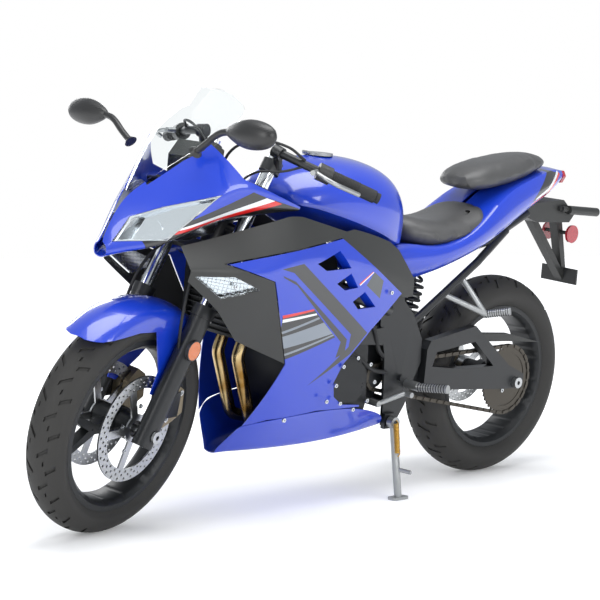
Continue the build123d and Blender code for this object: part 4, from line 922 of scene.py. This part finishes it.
# %% Tyres
def tyre(name, node, body, axle, radius, width, twist, steps=120):
    """A tyre with V grooves. Twist is in degrees from the middle to the shoulder."""
    half, low = width / 2, 226
    crown = [(math.sin(math.radians(a)), math.cos(math.radians(a))) for a in range(-84, 85, 8)]
    bulge = half * 0.8
    arc = [(half * s, radius - bulge + bulge * c) for s, c in crown]
    sides = [(half * 0.985, radius - bulge * 1.1), (half * 0.9, low + 11), (half * 0.8, low + 4),
             (half * 0.76, low),
             (half * 0.70, low - 3)]
    profile = [(-y, r) for y, r in reversed(sides)] + arc + sides
    bm = turned(profile, axle, steps=steps)
    middle = {}
    for face in bm.faces:
        offset = face.calc_center_median() - axle
        around = math.floor((math.atan2(offset.z, offset.x) + math.pi) / math.tau * steps)
        middle.setdefault(around, []).append((offset.y, math.hypot(offset.x, offset.z), face))
    grooves = []
    for around, faces in middle.items():
        for side in (-1, 1):
            phase = (around + (3 if side > 0 else 0)) % 6
            spans = {0: (0.10, 0.62), 2: (0.42, 0.86), 4: (0.30, 0.5)}
            if phase in spans:
                near, far = spans[phase]
                group = [f for y, r, f in faces if near < side * y / half < far and r > low + 20]
                if group:
                    grooves.append(group)
    for group in grooves:
        bmesh.ops.inset_region(bm, faces=group, thickness=2.2, depth=0)
        bmesh.ops.inset_region(bm, faces=group, thickness=0.8, depth=-4)
    for vert in bm.verts:
        offset = vert.co - axle
        angle = math.radians(twist) * min(1, abs(offset.y) / half)
        vert.co = axle + Matrix.Rotation(angle, 3, "Y") @ offset
    bmesh.ops.recalc_face_normals(bm, faces=bm.faces)
    return piece(name, bm, "tyre_rubber", [node], body)


tyre("front_tyre_grooved", "front_tyre", "front_wheel", FRONT_AXLE, 293, 112, -9)
tyre("rear_tyre_grooved", "rear_tyre", "rear_wheel", REAR_AXLE, 314, 142, 9)
print("tyres:", tally["front_tyre_grooved"], tally["rear_tyre_grooved"])

# %% [markdown]
# The brake discs are stainless plates drilled with rows of small holes that shed water and
# heat. The holes are cut from the frame's own discs.


# %% Drilled discs
def drilled(node, body, axle, rows_of_holes, reach):
    """A CAD disc with holes cut through at (radius, count, turn) rows, reach either side."""
    made = dressed(node, edge=0)
    cutter = bmesh.new()
    for ring, count, shift in rows_of_holes:
        for number in range(count):
            angle = (number + shift) * math.tau / count
            at = axle + Vector((ring * math.cos(angle), 0, ring * math.sin(angle)))
            disc(cutter, at, (0, 1, 0), 3.6, reach * 2, 10)
    cutter_mesh = as_mesh(cutter, "holes")
    cutter_mesh.transform(PLACES[body])
    holes = bpy.data.objects.new("holes", cutter_mesh)
    scene.collection.objects.link(holes)
    made.modifiers.clear()
    hole_cut = made.modifiers.new("holes", "BOOLEAN")
    hole_cut.object = holes
    hole_cut.solver = "EXACT"
    mesh = bpy.data.meshes.new_from_object(made.evaluated_get(bpy.context.evaluated_depsgraph_get()))
    made.modifiers.clear()
    made.data = mesh
    bpy.data.objects.remove(holes)
    tally[made.name] = len(mesh.polygons)
    return made


drilled("front_discs", "front_wheel", FRONT_AXLE, [(113, 30, 0), (122, 30, 0.5), (132, 30, 0)], 100)
drilled("rear_disc", "rear_wheel", REAR_AXLE, [(88, 24, 0), (96, 24, 0.5), (104, 24, 0)], 130)
print("disc faces:", tally["front_discs_dressed"])

# %% [markdown]
# The chain is riveted plates on rollers. Its path is two straight runs that touch both
# sprockets and the arcs round them. Narrow and wide links take turns along it.

# %% The drive chain
SPROCKETS = (Vector((0, 0, 314)), 106.2), (Vector((575, 0, 362)), 35.7)
CHAIN_LINE, CHAIN_PITCH = 92, 15.875
(rear_at, rear_r), (front_at, front_r) = SPROCKETS
run = front_at - rear_at
tilt = math.atan2(run.z, run.x)
taper = math.asin((rear_r - front_r) / run.length)
straight = run.length * math.cos(taper)
upper, lower = tilt + math.pi / 2 - taper, tilt - math.pi / 2 + taper
front_arc, rear_arc = front_r * (math.pi - 2 * taper), rear_r * (math.pi + 2 * taper)
loop = 2 * straight + front_arc + rear_arc


def spoke(angle):
    return Vector((math.cos(angle), 0, math.sin(angle)))


def along_chain(s):
    """The point at a distance along the chain's loop."""
    s %= loop
    if s < straight:
        return rear_at + spoke(upper) * rear_r + spoke(upper - math.pi / 2) * s
    s -= straight
    if s < front_arc:
        return front_at + spoke(upper - s / front_r) * front_r
    s -= front_arc
    if s < straight:
        return front_at + spoke(lower) * front_r + spoke(lower - math.pi / 2) * s
    s -= straight
    return rear_at + spoke(lower - s / rear_r) * rear_r


link = bmesh.new()
bmesh.ops.create_cube(link, size=1, matrix=Matrix.Diagonal((CHAIN_PITCH + 9.4, 1.6, 10.4, 1)))
corners = [edge for edge in link.edges if abs(edge.verts[0].co.y - edge.verts[1].co.y) > 1]
bmesh.ops.bevel(link, geom=corners, offset=4.6, segments=3, affect="EDGES", profile=0.5, material=-1)
link_mesh = as_mesh(link, "chain_plate")
roller_mesh = as_mesh(disc(bmesh.new(), (0, 0, 0), (0, 1, 0), 4.6, 12.6, 10), "chain_roller")
chain = bmesh.new()
links = round(loop / CHAIN_PITCH / 2) * 2
for number in range(links):
    here, there = along_chain(number * loop / links), along_chain((number + 1) * loop / links)
    middle = (here + there) / 2
    ahead = (there - here).normalized()
    turn = Matrix.Rotation(-math.atan2(ahead.z, ahead.x), 4, "Y")
    side = 6.6 if number % 2 else 4.6
    for offset in (-side, side):
        stamp(chain, link_mesh, Matrix.Translation(middle + Vector((0, CHAIN_LINE + offset, 0))) @ turn)
    stamp(chain, roller_mesh, Matrix.Translation(here + Vector((0, CHAIN_LINE, 0))))
piece("drive_chain_links", chain, "chain_steel", ["drive_chain"])
print("chain links:", links)

# %% [markdown]
# The rear sprocket's teeth stand between the plates. Its rim is a ring of points moved in
# and out, one tooth to each pitch, and thickened.

# %% The rear sprocket
teeth = bmesh.new()
TOOTH_COUNT = 42
ring = bmesh.ops.create_circle(teeth, radius=103, segments=TOOTH_COUNT * 6)["verts"]
for vert in ring:
    angle = math.atan2(vert.co.y, vert.co.x)
    wave = math.cos(angle * TOOTH_COUNT)
    vert.co *= (103 + 4.2 * max(-0.6, min(0.8, wave))) / 103
bmesh.ops.create_circle(teeth, radius=84, segments=TOOTH_COUNT * 6)["verts"]
bmesh.ops.bridge_loops(teeth, edges=teeth.edges)
bmesh.ops.solidify(teeth, geom=teeth.faces, thickness=4.5)
bmesh.ops.transform(teeth, matrix=facing((0, 92, 314), (0, 1, 0)), verts=teeth.verts)
bmesh.ops.recalc_face_normals(teeth, faces=teeth.faces)
piece("rear_sprocket_teeth", teeth, "chain_steel", body="rear_wheel")
screws("sprocket_screws", [(REAR_AXLE + Vector((0, 96, 0)) + spoke(n * math.tau / 5) * 36, (0, 1, 0),
                            7) for n in range(5)],
       body="rear_wheel")

# %% [markdown]
# Castings, brackets and tubes keep the frame's shapes. Each gets its flat faces joined and a
# small radius, because no cast or bent part has a knife edge, and the radius catches light.

# %% Castings and brackets with their radii
for node, radius in {"frame": 1.2, "subframe": 1.0, "engine": 1.8, "radiator": 0.6, "shock_absorber": 0.8,
                     "swing_arm": 2.0,
                     "rear_axle": 0.8, "chain_guard": 0.8, "rear_caliper": 1.2, "instrument_panel": 2.0,
                     "tail_lamp": 1.0,
                     "tail_bracket": 1.0, "rider_pegs": 0.8, "passenger_pegs": 0.8, "gear_lever": 0.8,
                     "brake_pedal": 0.8,
                     "rear_rim": 1.5, "front_rim": 1.5, "rear_sprocket": 0.6, "fuel_cap": 1.2,
                     "fork_clamps": 1.5,
                     "front_axle": 0.8, "handlebars": 0.8, "switch_boxes": 1.5, "levers": 1.2,
                     "front_calipers": 1.8,
                     "side_stand": 0.8, "muffler": 1.0, "exhaust_headers": 0.4, "fork_sliders": 0.8,
                     "fork_tubes": 0.4,
                     "grips": 0.8, "rear_turn_lamps": 1.0, "headlamp_bowls": 0.6}.items():
    dressed(node, radius)
print("dressed pieces:", sum(name.endswith("_dressed") for name in tally))

# %% [markdown]
# Behind each clear lens sit two bright reflectors. A reflector is a
# bowl of revolution, which is how it is drawn in one stroke of a press, with a bulb capsule
# in its middle.

# %% Headlamp reflectors
reflectors = bmesh.new()
bulbs = bmesh.new()
for side in (-1, 1):
    for x, y, z, size in ((1322, 92, 806, 34), (1372, 62, 782, 24)):
        bowl = [(0, size), (-6, size * 0.94), (-16, size * 0.74), (-24, size * 0.42), (-27, size * 0.2),
                (-28.5, size * 0.2), (-25.5, size * 0.44), (-17.5, size * 0.77), (-7, size),
                (0, size + 2)]
        place = Vector((x - 12, side * y, z))
        axis = Vector((0.96, side * 0.2, -0.12))
        merge(reflectors, turned(bowl, place, axis, 40))
        disc(bulbs, place - axis * 14, axis, 4.5, 22, 16)
piece("headlamp_reflectors", reflectors, "chrome", materials=["lamp_silver"])
piece("headlamp_bulbs", bulbs, "lens_clear")

# %% [markdown]
# Hoses and cables are round rubber tubes fixed at both ends: the brake hoses down the fork
# to the calipers, the throttle and clutch cables from the bars, and the radiator's hose.

# %% Hoses and cables
hoses = bmesh.new()
for side in (-1, 1):
    tube(hoses, [(1190, side * 40, 770), (1282, side * 70, 705), (1326, side * 88, 600),
                 (1322, side * 92, 500),
                 (1296, side * 84, 430), (1298, side * 78, 372)], 4.2)
tube(hoses, [(1068, 192, 1004), (1120, 160, 1034), (1166, 90, 1030), (1176, 30, 980), (1150, 16, 900)],
     3.6)
tube(hoses, [(1068, 188, 986), (1116, 164, 970), (1150, 100, 950), (1140, 40, 880)], 3.2)
tube(hoses, [(1068, -190, 1000), (1120, -160, 1026), (1166, -80, 1020), (1172, -20, 970),
             (1150, -10, 900)], 3.6)
piece("control_cables", hoses, "grip_rubber", body="steering")
cooling = bmesh.new()
tube(cooling, [(1030, 120, 560), (990, 132, 590), (930, 120, 600), (880, 96, 560)], 13)
tube(cooling, [(700, 116, 560), (640, 128, 520), (600, 120, 450), (560, 110, 420)], 7)
tube(cooling, [(760, 120, 470), (700, 140, 440), (640, 138, 400), (560, 120, 380)], 6)
piece("engine_hoses", cooling, "grip_rubber")

# %% [markdown]
# A spring holds the stand up or down, yellow with zinc passivation. Such stands often have a
# second one inside the first, and one is drawn. It is a helix, worked out between its hooks.


# %% Springs
def spring(bm, start, end, radius, wire, coils):
    """Adds a close-wound spring between two points."""
    start, end = Vector(start), Vector(end)
    turn = (end - start).to_track_quat("Z", "Y").to_matrix()
    length = (end - start).length
    points = [start]
    for number in range(coils * 8 + 1):
        angle, along = number * math.tau / 8, length * (0.1 + 0.8 * number / (coils * 8))
        points.append(start + turn @ Vector((radius * math.cos(angle), radius * math.sin(angle), along)))
    tube(bm, points + [end], wire)


springs = bmesh.new()
spring(springs, (548, 168, 252), (556, 196, 152), 7, 1.5, 22)
piece("stand_springs", springs, "chrome", body="side_stand", materials=["zinc"])
shock = bmesh.new()
spring(shock, (352, 0, 640), (392, 0, 470), 30, 5, 7)
piece("shock_spring", shock, "engine_black")
print("springs:", tally["stand_springs"], tally["shock_spring"])

# %% [markdown]
# Socket screws hold the fairing, the covers and the calipers. Axle nuts are larger, bright
# and chamfered. Each screw's place is a point on its piece with the way it faces.

# %% Screws and nuts
cover_ring = [(Vector((740, 184, 375)) + spoke(n * math.tau / 8) * 72, (0, 1, 0), 6) for n in range(8)]
pump_ring = [(Vector((850, 172, 450)) + spoke(n * math.tau / 5) * 39, (0, 1, 0), 5) for n in range(5)]
clutch_ring = [(Vector((770, -184, 375)) + spoke(n * math.tau / 9) * 76, (0, -1, 0), 6) for n in range(9)]
fairing_points = [(843, 184, 334), (643, 191, 625), (1215, 214, 662), (1000, 196, 300)]
fairing = [((x, side * (y + 1), z), (0, side, 0), 6) for x, y, z in fairing_points for side in (-1, 1)]
screws("fairing_screws", fairing)
screws("cover_screws", cover_ring + pump_ring + clutch_ring)
fork_side = [((1400 + x, side * 89, 293 + z), (0, side, 0), 8)
             for x, z in ((-80, 20), (-84, 88), (-128, 84)) for side in (-1, 1)]
screws("caliper_screws", fork_side, body="steering")
rotor_ring = [(FRONT_AXLE + Vector((0, side * 66, 0)) + spoke(n * math.tau / 5 + 0.3) * 62, (0, side, 0),
               6)
              for n in range(5) for side in (-1, 1)]
screws("rotor_screws", rotor_ring, body="front_wheel")
nuts = bmesh.new()
for at, normal, radius, depth in (((0, 124, 314), (0, 1, 0), 15, 12),
                                  ((0, -124, 314), (0, -1, 0), 15, 12)):
    disc(nuts, at, normal, radius, depth, 6)
    disc(nuts, at, normal, radius * 1.25, 4, 24)
piece("rear_axle_nuts", nuts, "chrome", edge=0.8)

# %% [markdown]
# The instrument panel faces the rider: a round rev counter with a bright bezel and a wide
# dark display beside it. The scale is printed, so its marks are thin raised bars here.

# %% Instruments
dial_at, dial_axis = Vector((1176, 20, 950)), Vector((-0.96, 0, 0.28)).normalized()
bezel = turned([(0, 44), (5, 44), (5, 40), (1, 38), (0, 38)], dial_at, dial_axis, 48)
marks = bmesh.new()
turn = facing(dial_at, dial_axis)
for number in range(13):
    angle = math.radians(-30 + 20 * number)
    mark = turn @ Matrix.Rotation(angle, 4,
                                  "Z") @ Matrix.Translation((33, 0, 1.6)) @ Matrix.Diagonal((6, 1.4, 0.6,
                                                                                             1))
    bmesh.ops.create_cube(marks, size=1, matrix=mark)
needle = turn @ Matrix.Rotation(math.radians(-25), 4,
                                "Z") @ Matrix.Translation((14, 0, 3)) @ Matrix.Diagonal((28, 2, 1, 1))
bmesh.ops.create_cube(marks, size=1, matrix=needle)
face = disc(bmesh.new(), dial_at, dial_axis, 39, 2, 48)
bmesh.ops.create_cube(face, size=1, matrix=facing(dial_at + Vector((0, -50, 0)),
                                                  dial_axis) @ Matrix.Diagonal((46, 52, 2, 1)))
piece("dial_bezel", bezel, "chrome")
piece("dial_marks", marks, "screen_clear", materials=["white_film"])
piece("dial_faces", face, "mirror_black", materials=["dial_black"])

# %% [markdown]
# The grips are ribbed rubber sleeves with end weights, and the folding pegs carry ribbed
# rubber pads. Ribs are rings spaced along their bar.

# %% Ribs on grips and pegs
grip_ribs = bmesh.new()
for side in (-1, 1):
    start, tip = Vector((1068, side * 185, 994)), Vector((938, side * 345, 941))
    way = (tip - start).normalized()
    for number in range(22):
        at = start + way * (52 + number * 5)
        merge(grip_ribs, turned([(-1.1, 16.8), (-0.7, 18.2), (0.7, 18.2), (1.1, 16.8)], at, way, 20))
    disc(grip_ribs, tip + way * 1, way, 14, 10, 20)
piece("grip_ribs", grip_ribs, "grip_rubber", body="steering")
peg_ribs = bmesh.new()
for side in (-1, 1):
    for start, end, radius in (((188, 140, 536), (150, 208, 556), 12.4),
                               ((472, 165, 340), (450, 262, 354), 13.4)):
        start, end = [Vector((x, side * y, z)) for x, y, z in (start, end)]
        way = (end - start).normalized()
        for number in range(1, 12):
            at = start + (end - start) * number / 12
            merge(peg_ribs, turned([(-1.4, radius - 3), (-0.9, radius), (0.9, radius), (1.4, radius - 3)],
                                   at, way, 16))
piece("peg_ribs", peg_ribs, "grip_rubber")
print("ribs:", tally["grip_ribs"], tally["peg_ribs"])

# %% [markdown]
# A bare warning plate sits on the swing arm: a yellow rectangle with a narrow raised frame, and no
# words. The reflectors and small lamps have bright or black rims.

# %% Plates and lamp rims
plate = bmesh.new()
bmesh.ops.create_cube(plate, size=1, matrix=Matrix.Translation((150, 119, 322)) @ Matrix.Diagonal((92,
                                                                                                   1.2,
                                                                                                   26,
                                                                                                   1)))
bmesh.ops.inset_region(plate, faces=[f for f in plate.faces if f.normal.y > 0.5], thickness=3, depth=-0.3)
rims = bmesh.new()
for side in (-1, 1):
    ring = [(-5, 24.5), (4, 24.5), (4, 27), (-5, 27)]
    merge(rims, turned(ring, (1310, side * 128, 508), (0, side, 0), 32))
piece("reflector_rims", rims, "mirror_black", body="steering")
piece("swing_arm_plate", plate, "lens_amber", materials=["zinc"], edge=0.3)

# %% Face counts
for name, count in sorted(tally.items()):
    print(f"{name}: {count} faces")
